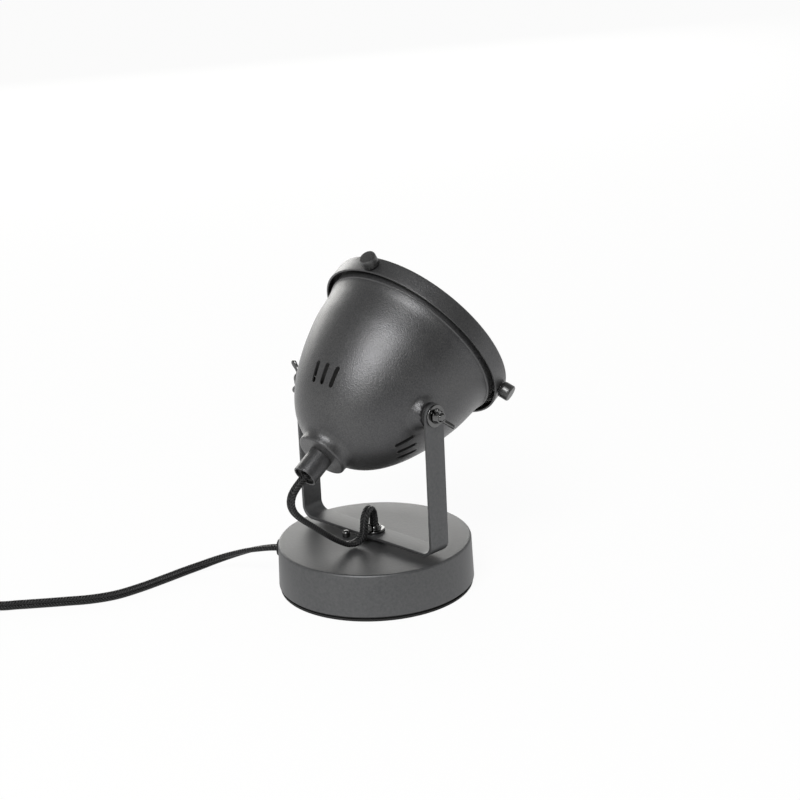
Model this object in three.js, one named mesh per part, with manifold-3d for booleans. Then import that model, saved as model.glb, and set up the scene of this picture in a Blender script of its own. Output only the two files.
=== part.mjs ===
// Table spot lamp: a spun bowl shade with a stand-off front ring, held in a bent strip yoke that
// swivels on a round weighted base, with a flat fabric covered lead. Millimetres, +Z up.
// The origin is the middle of the base's underside. The yoke's pivots lie along X, and the
// shade's mouth points towards -Y and up.
import * as THREE from 'three';
import * as BufferGeometryUtils from 'three/addons/utils/BufferGeometryUtils.js';
import Module from 'manifold-3d';

const wasm = await Module();
wasm.setup();

// Clearances and overruns
const touchGap = 0.3;
const holeClearance = 0.3;
const cutOverrun = 2;

// Round smoothness, as numbers of sides
const sidesLarge = 48;
const sidesMedium = 24;
const sidesSmall = 16;
const sidesTiny = 12;
const arcSteps = 3;
const strongArcSteps = 6;

// Base
const baseRadius = 60;
const baseFlare = 0.8;
const baseTop = 30;
const coverBottom = 3.2;
const coverWall = 1.2;
const coverEdgeRadius = 1.6;
const padThickness = 1.5;
const padEdge = 0.5;
const plateThickness = 1.1;
const plateInset = 0.8;
const plateScrewCircle = 44;
const plateScrewRadius = 1.6;
const plateScrewHeadRadius = 3;
const plateScrewHeadHeight = 0.8;
const plateScrewLength = 7;
const plateScrewCount = 3;
const weightInset = 3.5;
const weightEdge = 2;
const weightRecessRadius = 20;
const weightWeb = 8.5;
const weightChannelWidth = 13;
const weightChannelRoof = 25.5;

// Hollow stem that joins the base and the yoke
const stemRadius = 4.2;
const stemBore = 3.4;
const stemBottom = 12.4;
const stemStand = 4.1;
const stemLip = 0.4;
const stemWasherRadius = 11;
const stemWasherThickness = 1;
const stemNutFlats = 13;
const stemNutHeight = 4.5;
const spacerRadius = 7;
const spacerThickness = 1.8;
const flangeNutRadius = 6.7;
const flangeNutHeight = 1.5;
const flangeNutEdge = 0.4;

// Stop screw beside the yoke
const stopScrewX = 14.6;
const stopScrewY = 10.3;
const stopHeadRadius = 2.4;
const stopHeadHeight = 4.4;
const stopDomeHeight = 1.6;
const stopShankRadius = 1.5;
const stopShankLength = 5;

// Flat fabric covered lead
const leadWidth = 6;
const leadThickness = 4;
const leadSides = 8;
const leadStep = 12;
const curledLeadStep = 5;

// Where the mains lead leaves the base
const exitAngleDegrees = 32;
const exitHeight = 20.5;
const grommetFlangeRadius = 5.2;
const grommetFlangeThickness = 2;
const grommetBodyRadius = 4.3;
const grommetBore = 3.3;
const grommetInnerFlange = 1.5;
const grommetEdge = 0.6;

// Yoke
const stripWidth = 15;
const stripThickness = 2;
const yokeBendRadius = 6;
const pivotHeight = 122.3;

// Pivot hardware, the same on both sides
const pivotPadRadius = 8.2;
const pivotPadInset = 6.22;
const pivotWasherRadius = 7.4;
const pivotWasherThickness = 1.8;
const boltRadius = 2.5;
const boltHeadRadius = 5;
const boltHeadHeight = 2.6;
const boltStub = 1;
const nutWasherRadius = 7;
const nutWasherThickness = 1;
const wingHubRadius = 4.4;
const wingHubTipRadius = 3.5;
const wingHubHeight = 3.9;
const wingSpan = 10.8;
const wingThickness = 2.6;
const wingFoot = 0.6;
const wingOuterFoot = 3.6;
const wingOuterHeight = 9.2;
const wingTipRadius = 2.4;
const nearWingLeanDegrees = 42;
const farWingLeanDegrees = -2;

// Shade, given along its own axis from the pivot, mouth forwards
const shadeTiltDegrees = 32.2;
const shadeWall = 1;
const bowlFront = 45.2;
const bowlDepth = 89.24;
const bowlRadius = 58.12;
const bowlDepthPowerShare = 1.486;
const bowlRadiusPowerShare = 2.626;
const bowlFrontLength = 2.6;
const bowlSteps = 10;
const rimStep = 0.6;
const rimStepLength = 0.8;
const rimFront = 55.2;
const neckRadius = 16.2;
const neckEnd = -49;
const neckFillet = 2.4;
const neckBlend = 4.4;
const blendSteps = 3;
const slotLength = 12;
const slotWidth = 2.9;
const slotMiddle = -17.3;
const slotSpacingDegrees = 10.4;
const slotsInGroup = 3;
const slotGroupDegrees = [93.4, 203, 328];
const groupCount = 3;
const groupStartDegrees = 90;

// Front ring and its screws
const ringStandOff = 3.08;
const ringWall = 1.3;
const ringBack = 46.2;
const ringDepth = 11.8;
const ringEdge = 0.3;
const ringFrontEdge = 0.9;
const ringScrewAt = 51.2;
const ringScrewRadius = 2;
const ringScrewInside = 2;
const knobRadius = 5.1;
const knobHeight = 6.8;
const knobChamfer = 0.6;
const knobCollarRadius = 3.4;
const knobCollarHeight = 0.6;
const bushRadius = 3.6;
const bushSpigotRadius = 2.9;
const bushFlangeRadius = 3.8;
const bushFlangeThickness = 0.8;

// Rear sleeve and lead entry of the shade
const sleeveRadius = 7.75;
const sleeveWall = 1.1;
const sleeveLength = 16.4;
const sleeveWeb = 3;
const sleeveLip = 0.5;
const nippleRear = -58;
const nippleFront = -41;
const neckNutRadius = 6.3;
const neckNutHeight = 3;
const entryRecess = 1.5;
const entryLength = 3.5;

// Lampholder
const holderRadius = 13.6;
const holderCapLength = 14;
const holderCapFront = 11.8;
const holderBodyLength = 28;
const holderBodyFront = 12.6;
const holderFlangeRadius = 14.4;
const holderFlangeThickness = 2;
const holderFloor = 5;
const contactRadius = 3.2;
const contactThickness = 1.2;
const shellWall = 0.6;
const shellLength = 17;

// Bulb
const bulbCapRadius = 6.9;
const bulbCapLength = 19;
const bulbTipRadius = 2.4;
const bulbTipLength = 2.2;
const bulbCollarRadius = 8.2;
const bulbCollarLength = 3;
const bulbRadius = 22.5;
const bulbNeckLength = 12;
const bulbNeckRadius = 8.6;
const bulbSteps = 8;

// Inline switch, along the lead
const switchLength = 60;
const switchWidth = 25;
const switchHalfHeight = 8;
const switchCorner = 9;
const switchEdge = 1.5;
const rockerLength = 17;
const rockerWidth = 11;
const rockerHeight = 5.2;
const rockerRise = 2.2;
const rockerSideGap = 0.5;
const rockerEndGap = 0.8;
const rockerFloorGap = 2.2;
const rockerTiltDegrees = 7;

// Plug
const plugFaceWidth = 35.3;
const plugHeight = 13.7;
const plugLength = 36;
const plugShoulder = 14;
const plugTailWidth = 14;
const plugTailHeight = 9.6;
const plugPinRadius = 2;
const plugPinLength = 19;
const plugPinSpacing = 18.6;
const plugPinSeat = 6;
const plugBootLength = 20;
const plugBootRootRadius = 4.6;
const plugBootTipRadius = 3.7;

// Coil of spare lead
const coilMiddleRadius = 31;
const coilTurns = 7.25;
const coilLayers = 4;
const coilTravelPerTurn = 6.4;
const coilLayerHeight = 6.6;
const coilClimbShare = 0.19;
const coilStepsPerTurn = 24;
const coilSides = 6;
const tieWall = 1.2;
const tieWidth = 7;
const tieGap = 0.4;

// Places of the switch, coil and plug beyond the mains lead's end
const parkHeadingDegrees = 92;
const linkLength = 36;
const tailLength = 42;

// Route of the lead from the shade's rear entry to the hollow stem
const headLeadRoute = [
  [0, 54.6, 87.9], [0, 59.5, 84.8], [0, 63.8, 81.7], [0, 66.9, 78.0], [0, 67.9, 73.2],
  [0, 65.9, 67.8], [0, 61.0, 62.2], [0, 54.5, 56.6], [0, 47.0, 50.6], [0, 39.5, 44.4], [0, 32.2, 38.6],
  [-0.5, 25.4, 34.2], [-1.2, 19.4, 32.7], [-2.2, 14.9, 33.9], [-3.2, 12.6, 37.6], [-3.8, 12.2, 42.4],
  [-3.6, 11.2, 47.0], [-2.6, 8.0, 50.6], [-1.2, 4.0, 51.2], [-0.2, 0.9, 48.2], [0, 0, 43.6],
  [0, 0, 38.8],
];

// Route of the mains lead to the switch: along X and Y from just past the exit, and the height
const mainsRoute = [
  [4.3, 2.7, 20.1], [10.1, 5.6, 18.9], [17.7, 8.0, 16.6], [25.7, 10.1, 13.4], [33.3, 13.3, 10.2],
  [40.1, 18.5, 7.2], [45.3, 26.1, 4.8], [48.9, 36.7, 3.4], [50.5, 52.7, 3.0], [51.9, 70.3, 3.0],
  [55.1, 87.1, 3.0], [62.3, 101.1, 3.0], [72.3, 113.3, 3.0], [84.3, 127.1, 3.0], [92.3, 136.0, 3.0],
  [96.9, 141.8, 3.1], [100.6, 146.9, 3.9], [103.3, 152.4, 5.4], [104.7, 158.4, 7.1],
  [104.9, 164.4, 8.0], [104.7, 169.4, 8.0],
];

// Sizes that follow from those above
const plateBottom = padThickness + touchGap;
const plateTop = plateBottom + plateThickness;
const weightBottom = plateTop + touchGap;
const weightTop = baseTop - coverWall - touchGap;
const recessRoof = weightTop - weightWeb;
const stripBottom = baseTop + touchGap + spacerThickness + touchGap;
const stripTop = stripBottom + stripThickness;
const stemTop = stripTop + stemStand;
const padRadius = baseRadius;
const plateRadius = baseRadius - plateInset;
const weightRadius = baseRadius - weightInset;
const exitAngle = THREE.MathUtils.degToRad(exitAngleDegrees);
const exitWall = baseRadius + baseFlare * (baseTop - exitHeight) / (baseTop - coverBottom);
const grommetOuter = exitWall + touchGap + grommetFlangeThickness;
const pivotPadReach = bowlRadius - pivotPadInset;
const pivotWasherBack = pivotPadReach + touchGap;
const pivotWasherFront = pivotWasherBack + pivotWasherThickness;
const armInner = pivotWasherFront + touchGap;
const yokeHalfWidth = armInner + stripThickness;
const rimRadius = bowlRadius + rimStep;
const mouthRadius = rimRadius - shadeWall;
const ringInner = rimRadius + ringStandOff;
const ringRadius = ringInner + ringWall;
const neckFloor = neckEnd + shadeWall;
const sleeveFront = neckEnd - touchGap;
const sleeveEnd = sleeveFront - sleeveLength;
const entryEnd = sleeveEnd + entryRecess;
const holderRear = neckFloor + touchGap;
const holderBodyRear = holderRear + holderCapLength + touchGap;
const holderFront = holderBodyRear + holderBodyLength;
const shellRadius = bulbCapRadius + holeClearance + shellWall;
const contactBottom = holderBodyRear + holderFloor + touchGap;
const bulbTip = contactBottom + contactThickness + touchGap;
const bulbCapRear = bulbTip + bulbTipLength;
const bulbCapFront = bulbCapRear + bulbCapLength;
const glassRear = bulbCapFront + touchGap;
const switchHeight = switchHalfHeight * 2 + touchGap;
const coilFloor = tieWall + tieGap;
const turnsInLayer = coilTurns / coilLayers;
const coilSpan = coilTravelPerTurn * turnsInLayer;
const coilOuter = coilMiddleRadius + coilSpan / 2;
const coilInner = coilMiddleRadius - coilSpan / 2;
const coilStart = switchLength + touchGap * 2 + linkLength + touchGap;
const coilTopMiddle = coilFloor + leadWidth / 2 + coilLayerHeight * (coilLayers - 1);
const coilAlong = coilStart + leadWidth;

// Materials
function finish(color, roughness, metalness) {
  return new THREE.MeshStandardMaterial({ color, roughness, metalness });
}

const sandedCoat = finish(0x3b3c3e, 0.62, 0.25);
const satinCoat = finish(0x434446, 0.5, 0.25);
const blackGloss = finish(0x101010, 0.18, 0.1);
const blackRubber = finish(0x191919, 0.8, 0);
const zincPlate = finish(0xa9abad, 0.4, 0.9);
const castIron = finish(0x4b4a48, 0.8, 0.6);
const greyKnurl = finish(0x55565a, 0.4, 0.6);
const nylon = finish(0xd8d6cf, 0.5, 0);
const brass = finish(0xb08d4a, 0.35, 0.9);
const nickel = finish(0xb9b7b1, 0.3, 0.9);
const opalGlass = finish(0xf4f1ea, 0.25, 0);
const fabric = finish(0x1c1c1d, 0.85, 0);
const blackPlastic = finish(0x141414, 0.45, 0);

// Turns a closed geometry into a solid that can be joined and cut.
function solid(geometry) {
  const bare = geometry.clone();
  bare.deleteAttribute('normal');
  bare.deleteAttribute('uv');
  const merged = BufferGeometryUtils.mergeVertices(bare, 1e-4);
  return new wasm.Manifold(new wasm.Mesh({
    numProp: 3,
    vertProperties: new Float32Array(merged.attributes.position.array),
    triVerts: new Uint32Array(merged.index.array),
  }));
}

function geometryOf(manifold) {
  const data = manifold.getMesh();
  const geometry = new THREE.BufferGeometry();
  geometry.setAttribute('position', new THREE.BufferAttribute(new Float32Array(data.vertProperties), 3));
  geometry.setIndex(new THREE.BufferAttribute(new Uint32Array(data.triVerts), 1));
  geometry.computeVertexNormals();
  return geometry;
}

function cut(body, ...cutters) {
  return geometryOf(cutters.reduce((left, cutter) => left.subtract(solid(cutter)), solid(body)));
}

function join(first, ...others) {
  return geometryOf(others.reduce((whole, other) => whole.add(solid(other)), solid(first)));
}

function common(first, second) {
  return geometryOf(solid(first).intersect(solid(second)));
}

// A solid of revolution about Z. The outline's [radius, height] points run anticlockwise.
function turned(outline, sides = sidesMedium) {
  const points = outline.map(([radius, height]) => new THREE.Vector2(radius, height));
  if (outline[0][0] > 0) points.push(points[0].clone());
  const geometry = new THREE.LatheGeometry(points, sides);
  geometry.rotateX(Math.PI / 2);
  return geometry;
}

function disc(radius, bottom, top, sides = sidesMedium) {
  return turned([[0, bottom], [radius, bottom], [radius, top], [0, top]], sides);
}

function tube(outer, inner, bottom, top, sides = sidesMedium) {
  return turned([[inner, bottom], [outer, bottom], [outer, top], [inner, top]], sides);
}

function box(width, depth, height, x, y, z) {
  return new THREE.BoxGeometry(width, depth, height).translate(x, y, z);
}

// Points of a quarter arc about a centre, from one angle to another in quarter turns.
function arc(radius, centre, fromQuarter, toQuarter, steps = arcSteps) {
  const points = [];
  for (let i = 0; i <= steps; i += 1) {
    const angle = (fromQuarter + (toQuarter - fromQuarter) * i / steps) * Math.PI / 2;
    points.push([centre[0] + radius * Math.cos(angle), centre[1] + radius * Math.sin(angle)]);
  }
  return points;
}

function roundedShape(width, depth, corner) {
  const x = width / 2 - corner;
  const y = depth / 2 - corner;
  const outline = [
    ...arc(corner, [x, y], 0, 1), ...arc(corner, [-x, y], 1, 2),
    ...arc(corner, [-x, -y], 2, 3), ...arc(corner, [x, -y], 3, 4),
  ];
  return shapeOf(outline);
}

function shapeOf(outline) {
  return new THREE.Shape(outline.map(([x, y]) => new THREE.Vector2(x, y)));
}

function extruded(shape, depth) {
  return new THREE.ExtrudeGeometry(shape, { depth, bevelEnabled: false });
}

function aroundCircle(count, radius, startDegrees, make) {
  const pieces = [];
  for (let i = 0; i < count; i += 1) {
    const angle = THREE.MathUtils.degToRad(startDegrees) + (i / count) * Math.PI * 2;
    pieces.push(make().translate(Math.cos(angle) * radius, Math.sin(angle) * radius, 0));
  }
  return pieces;
}

function add(parent, name, geometry, material) {
  const mesh = new THREE.Mesh(geometry, material);
  mesh.name = name;
  parent.add(mesh);
}

// The lead's section, thin along x and wide along y, with flats at its full thickness and width.
function leadSection(sides) {
  const outline = [];
  for (let i = 0; i < sides; i += 1) {
    const angle = ((i + 0.5) / sides) * Math.PI * 2;
    const reach = 1 / Math.cos(Math.PI / sides);
    outline.push([
      Math.cos(angle) * reach * leadThickness / 2,
      Math.sin(angle) * (sides % 4 ? 1 : reach) * leadWidth / 2,
    ]);
  }
  return shapeOf(outline);
}

// Gives a path frames that keep the lead's wide side along a chosen direction, which may turn
// from one to another over the first share of the length.
function holdWide(path, wideStart, wideEnd = wideStart, turnShare = 1) {
  path.computeFrenetFrames = (steps) => {
    const frames = { tangents: [], normals: [], binormals: [] };
    for (let i = 0; i <= steps; i += 1) {
      const tangent = path.getTangentAt(i / steps);
      const mix = Math.min(i / steps / turnShare, 1);
      const wide = new THREE.Vector3(...wideStart).lerp(new THREE.Vector3(...wideEnd), mix);
      wide.addScaledVector(tangent, -wide.dot(tangent)).normalize();
      frames.tangents.push(tangent);
      frames.binormals.push(wide);
      frames.normals.push(wide.clone().cross(tangent));
    }
    return frames;
  };
  return path;
}

function leadAlong(points, step, wideStart, wideEnd, turnShare) {
  const vectors = points.map((point) => new THREE.Vector3(...point));
  const path = new THREE.CatmullRomCurve3(vectors, false, 'centripetal');
  const steps = Math.round(path.getLength() / step);
  const extrudePath = holdWide(path, wideStart, wideEnd, turnShare);
  return new THREE.ExtrudeGeometry(leadSection(leadSides), { steps, bevelEnabled: false, extrudePath });
}

const upwards = [0, 0, 1];
const sideways = [1, 0, 0];

const group = new THREE.Group();

// Base

// The pad, the plate and the weight are stacked inside the cover, and three screws hold them.
function footPad() {
  return turned([
    [0, 0], [padRadius - padEdge, 0], [padRadius, padEdge], [padRadius, padThickness], [0, padThickness],
  ], sidesLarge);
}

function bottomPlate() {
  const holes = aroundCircle(plateScrewCount, plateScrewCircle, groupStartDegrees, () => disc(
    plateScrewHeadRadius + holeClearance, plateBottom - cutOverrun, plateTop + cutOverrun, sidesTiny,
  ));
  return cut(disc(plateRadius, plateBottom, plateTop, sidesLarge), ...holes);
}

function plateScrews() {
  return aroundCircle(plateScrewCount, plateScrewCircle, groupStartDegrees, () => turned([
    [0, plateBottom], [plateScrewHeadRadius, plateBottom],
    [plateScrewHeadRadius, plateBottom + plateScrewHeadHeight], [plateScrewRadius, plateTop],
    [plateScrewRadius, plateTop + plateScrewLength], [0, plateTop + plateScrewLength],
  ], sidesTiny));
}

// The weight's recess takes the stem's nut, and its channel takes the lead to the exit.
function baseWeight() {
  const reach = weightRadius + cutOverrun;
  const channelHeight = weightChannelRoof - weightBottom + cutOverrun;
  const channel = box(reach, weightChannelWidth, channelHeight, reach / 2, 0,
    weightChannelRoof - channelHeight / 2).rotateZ(exitAngle);
  const holes = aroundCircle(plateScrewCount, plateScrewCircle, groupStartDegrees, () => disc(
    plateScrewRadius + holeClearance, weightBottom - cutOverrun, plateTop + plateScrewLength + touchGap,
    sidesTiny,
  ));
  const bore = stemRadius + holeClearance;
  const body = turned([
    [weightRecessRadius, weightBottom], [weightRadius, weightBottom],
    [weightRadius, weightTop - weightEdge], [weightRadius - weightEdge, weightTop],
    [bore, weightTop], [bore, recessRoof], [weightRecessRadius, recessRoof],
  ], sidesLarge);
  const stopHole = disc(stopShankRadius + holeClearance, baseTop - stopShankLength - touchGap,
    baseTop + cutOverrun, sidesTiny).translate(stopScrewX, stopScrewY, 0);
  return cut(body, channel, stopHole, ...holes);
}

function baseCover() {
  const foot = baseRadius + baseFlare;
  const bore = stemRadius + holeClearance;
  const innerEdge = coverEdgeRadius / 2;
  const underside = baseTop - coverWall;
  const edgeCentre = [baseRadius - coverEdgeRadius, baseTop - coverEdgeRadius];
  const body = turned([
    [foot, coverBottom], ...arc(coverEdgeRadius, edgeCentre, 0, 1), [bore, baseTop], [bore, underside],
    [baseRadius - coverWall - innerEdge, underside], [baseRadius - coverWall, underside - innerEdge],
    [foot - coverWall, coverBottom],
  ], sidesLarge);
  const exitHole = disc(grommetBodyRadius + holeClearance, baseRadius / 2, baseRadius * 2, sidesSmall)
    .rotateY(Math.PI / 2).rotateZ(exitAngle).translate(0, 0, exitHeight);
  const screwHole = disc(stopShankRadius + holeClearance, underside - cutOverrun, baseTop + cutOverrun,
    sidesTiny).translate(stopScrewX, stopScrewY, 0);
  return cut(body, exitHole, screwHole);
}

// The hollow stem with what is threaded on it: washer and nut below, flanged nut above.
function stem() {
  return turned([
    [stemBore, stemBottom], [stemRadius, stemBottom], [stemRadius, stemTop - stemLip],
    [stemRadius - stemLip, stemTop], [stemBore, stemTop],
  ], sidesSmall);
}

const stemWasherTop = recessRoof - touchGap;
const stemNutTop = stemWasherTop - stemWasherThickness - touchGap;
const stemHole = stemRadius + holeClearance;

function stemNut() {
  const hexagon = disc(stemNutFlats / Math.sqrt(3), stemNutTop - stemNutHeight, stemNutTop, 6);
  return cut(hexagon, disc(stemHole, 0, baseTop, sidesSmall));
}

function flangeNut() {
  const bottom = stripTop + touchGap;
  const top = bottom + flangeNutHeight;
  return turned([
    [stemHole, bottom], [flangeNutRadius, bottom], [flangeNutRadius, top - flangeNutEdge],
    [flangeNutRadius - flangeNutEdge, top], [stemHole, top],
  ], sidesMedium);
}

function stopScrew() {
  const headBottom = baseTop + touchGap;
  const domeFoot = baseTop + stopHeadHeight - stopDomeHeight;
  const dome = arc(1, [0, 0], 0, 1).map(([across, up]) => [
    across * stopHeadRadius, domeFoot + up * stopDomeHeight,
  ]);
  dome[dome.length - 1][0] = 0;
  return turned([
    [0, headBottom - stopShankLength], [stopShankRadius, headBottom - stopShankLength],
    [stopShankRadius, headBottom], [stopHeadRadius, headBottom], ...dome,
  ], sidesTiny).translate(stopScrewX, stopScrewY, 0);
}

// The grommet grips the cover's round wall between two flat flanges.
function exitGrommet() {
  const flangeBack = exitWall + touchGap;
  const wallInner = Math.sqrt((exitWall - coverWall) ** 2 - grommetFlangeRadius ** 2) - touchGap * 2;
  return turned([
    [grommetBore, wallInner - grommetInnerFlange],
    [grommetFlangeRadius, wallInner - grommetInnerFlange + grommetEdge], [grommetFlangeRadius, wallInner],
    [grommetBodyRadius, wallInner], [grommetBodyRadius, flangeBack], [grommetFlangeRadius, flangeBack],
    [grommetFlangeRadius, grommetOuter - grommetEdge], [grommetFlangeRadius - grommetEdge, grommetOuter],
    [grommetBore, grommetOuter],
  ], sidesSmall).rotateY(Math.PI / 2).rotateZ(exitAngle).translate(0, 0, exitHeight);
}

function outwards(distance, height) {
  return [Math.cos(exitAngle) * distance, Math.sin(exitAngle) * distance, height];
}

// Inside the base the lead comes down the stem and rises again through the channel to the exit.
function baseLead() {
  const low = weightBottom + touchGap + leadThickness / 2;
  const bend = stemBottom - low;
  const rise = (exitHeight - low) / 2;
  const riseEnd = weightRadius - leadWidth;
  const quarter = (riseEnd - weightRecessRadius) / 4;
  const across = [Math.sin(exitAngle), -Math.cos(exitAngle), 0];
  return leadAlong([
    [0, 0, stemTop], [0, 0, recessRoof],
    ...arc(bend, [bend, low + bend], 2, 3).map(([distance, height]) => outwards(distance, height)),
    outwards(weightRecessRadius, low), outwards(riseEnd - quarter * 3, low),
    outwards(riseEnd - quarter, low + rise), outwards(riseEnd, exitHeight - rise / 4),
    outwards(grommetOuter - leadWidth, exitHeight), outwards(grommetOuter, exitHeight),
  ], curledLeadStep, sideways, across, 1 / 4);
}

add(group, 'foot_pad', footPad(), blackRubber);
add(group, 'bottom_plate', bottomPlate(), blackPlastic);
plateScrews().forEach((screw, i) => add(group, `plate_screw_${i + 1}`, screw, zincPlate));
add(group, 'base_weight', baseWeight(), castIron);
add(group, 'base_cover', baseCover(), satinCoat);
add(group, 'stem', stem(), blackGloss);
add(group, 'stem_washer', tube(stemWasherRadius, stemHole, stemWasherTop - stemWasherThickness,
  stemWasherTop), zincPlate);
add(group, 'stem_nut', stemNut(), zincPlate);
add(group, 'stem_spacer', tube(spacerRadius, stemHole, baseTop + touchGap,
  baseTop + touchGap + spacerThickness), blackPlastic);
add(group, 'flange_nut', flangeNut(), blackGloss);
add(group, 'stop_screw', stopScrew(), blackGloss);
add(group, 'exit_grommet', exitGrommet(), blackRubber);
add(group, 'base_lead', baseLead(), fabric);

// Yoke

// A flat bar bent into a U, seen along Y, and cut to round arm ends, seen along X.
function yoke() {
  const outerBend = yokeBendRadius + stripThickness;
  const armTop = pivotHeight + stripWidth / 2;
  const bendX = yokeHalfWidth - outerBend;
  const bendZ = stripBottom + outerBend;
  const outline = [
    [yokeHalfWidth, armTop], [armInner, armTop],
    ...arc(yokeBendRadius, [bendX, bendZ], 0, -1, strongArcSteps),
    ...arc(yokeBendRadius, [-bendX, bendZ], -1, -2, strongArcSteps),
    [-armInner, armTop], [-yokeHalfWidth, armTop],
    ...arc(outerBend, [-bendX, bendZ], 2, 3, strongArcSteps),
    ...arc(outerBend, [bendX, bendZ], 3, 4, strongArcSteps),
  ];
  const bent = extruded(shapeOf(outline), stripWidth).rotateX(Math.PI / 2)
    .translate(0, stripWidth / 2, 0);
  const endOutline = [
    ...arc(stripWidth / 2, [0, pivotHeight], 0, 2, strongArcSteps * 2),
    [-stripWidth / 2, 0], [stripWidth / 2, 0],
  ];
  const reach = yokeHalfWidth + cutOverrun;
  const ends = extruded(shapeOf(endOutline), reach * 2).rotateX(Math.PI / 2).rotateZ(Math.PI / 2)
    .translate(-reach, 0, 0);
  const pivotHole = disc(boltRadius + holeClearance, -reach, reach, sidesSmall)
    .rotateY(Math.PI / 2).translate(0, 0, pivotHeight);
  const stemCut = disc(stemHole, stripBottom - cutOverrun, stripTop + cutOverrun, sidesSmall);
  return cut(common(bent, ends), pivotHole, stemCut);
}

add(group, 'yoke', yoke(), satinCoat);

// Pivots

const pivots = new THREE.Group();
pivots.position.z = pivotHeight;
group.add(pivots);

const boltHeadFace = pivotPadReach - shadeWall - touchGap;
const nutWasherBack = yokeHalfWidth + touchGap;
const hubFoot = nutWasherBack + nutWasherThickness + touchGap;
const hubTop = hubFoot + wingHubHeight;
const boltEnd = hubTop + boltStub;

function pivotBolt() {
  const headBack = boltHeadFace - boltHeadHeight;
  const crown = boltHeadHeight / 2;
  return turned([
    [0, headBack], [boltHeadRadius - crown, headBack], [boltHeadRadius, headBack + crown],
    [boltHeadRadius, boltHeadFace], [boltRadius, boltHeadFace], [boltRadius, boltEnd - boltStub],
    [boltRadius - boltStub, boltEnd], [0, boltEnd],
  ], sidesSmall);
}

// A wing seen flat: it rises from the hub's foot to a round tip that stands past the hub.
function wingNut() {
  const bore = boltRadius + holeClearance;
  const hub = turned([
    [bore, hubFoot], [wingHubRadius, hubFoot], [wingHubTipRadius, hubTop], [bore, hubTop],
  ], sidesSmall);
  const tip = [wingSpan - wingTipRadius, wingOuterHeight - wingTipRadius];
  const root = (bore + wingHubTipRadius) / 2;
  const outline = [
    [root, wingFoot], [wingSpan - wingTipRadius, wingOuterFoot], [wingSpan, wingOuterFoot + wingTipRadius],
    ...arc(wingTipRadius, tip, 0, 2), [wingHubTipRadius, wingHubHeight - wingFoot], [root, wingFoot * 2],
  ];
  const wing = extruded(shapeOf(outline), wingThickness).rotateX(Math.PI / 2)
    .translate(0, wingThickness / 2, hubFoot);
  return join(hub, wing, wing.clone().rotateZ(Math.PI));
}

function addPivot(side, direction, leanDegrees) {
  const holder = new THREE.Group();
  holder.rotation.y = direction * Math.PI / 2;
  pivots.add(holder);
  const boltHole = boltRadius + holeClearance;
  add(holder, `pivot_washer_${side}`, tube(pivotWasherRadius, boltHole, pivotWasherBack,
    pivotWasherFront, sidesSmall), nylon);
  add(holder, `pivot_bolt_${side}`, pivotBolt(), blackGloss);
  add(holder, `nut_washer_${side}`, tube(nutWasherRadius, boltHole, nutWasherBack,
    nutWasherBack + nutWasherThickness, sidesSmall), blackGloss);
  add(holder, `wing_nut_${side}`,
    wingNut().rotateZ(-direction * THREE.MathUtils.degToRad(leanDegrees)), blackGloss);
}

addPivot('near', -1, nearWingLeanDegrees);
addPivot('far', 1, farWingLeanDegrees);

// Shade and all that turns with it, along its axis

const head = new THREE.Group();
head.position.z = pivotHeight;
head.rotation.x = Math.PI / 2 - THREE.MathUtils.degToRad(shadeTiltDegrees);
group.add(head);

function bowlRadiusAt(place) {
  const depth = (bowlFront - place) / bowlDepth;
  return bowlRadius * (1 - depth ** bowlDepthPowerShare) ** (1 / bowlRadiusPowerShare);
}

// Where the bowl is as wide as a given radius.
function bowlPlaceAt(radius) {
  const depth = (1 - (radius / bowlRadius) ** bowlRadiusPowerShare) ** (1 / bowlDepthPowerShare);
  return bowlFront - depth * bowlDepth;
}

// A hollow curve leads from the neck into the bowl.
function neckCurve() {
  const corner = bowlPlaceAt(neckRadius);
  const reach = neckRadius + neckBlend;
  const curve = new THREE.QuadraticBezierCurve(
    new THREE.Vector2(neckRadius, corner - neckBlend),
    new THREE.Vector2(neckRadius, corner),
    new THREE.Vector2(reach, bowlPlaceAt(reach)),
  );
  return curve.getPoints(blendSteps).map((point) => [point.x, point.y]);
}

function bowlOutline() {
  const start = bowlPlaceAt(neckRadius + neckBlend);
  const end = bowlFront - bowlFrontLength;
  const points = [];
  for (let i = 1; i <= bowlSteps; i += 1) {
    const place = start + (end - start) * (1 - Math.cos((i / bowlSteps) * Math.PI / 2));
    points.push([bowlRadiusAt(place), place]);
  }
  return points;
}

// The same outline one wall further in, square to the surface.
function inset(outline, distance) {
  return outline.map(([radius, place], i) => {
    const before = outline[Math.max(i - 1, 0)];
    const after = outline[Math.min(i + 1, outline.length - 1)];
    const along = new THREE.Vector2(after[0] - before[0], after[1] - before[1]).normalize();
    return [radius - along.y * distance, place + along.x * distance];
  });
}

// A slot runs along the bowl and is cut straight in towards the axis.
function ventSlots() {
  const slots = [];
  const depth = bowlRadius;
  for (const middleDegrees of slotGroupDegrees) {
    for (let j = 0; j < slotsInGroup; j += 1) {
      const degrees = middleDegrees + (j - (slotsInGroup - 1) / 2) * slotSpacingDegrees;
      slots.push(extruded(roundedShape(slotLength, slotWidth, slotWidth / 2), depth)
        .rotateY(Math.PI / 2).translate(neckRadius, 0, slotMiddle)
        .rotateZ(THREE.MathUtils.degToRad(degrees)));
    }
  }
  return slots;
}

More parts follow.
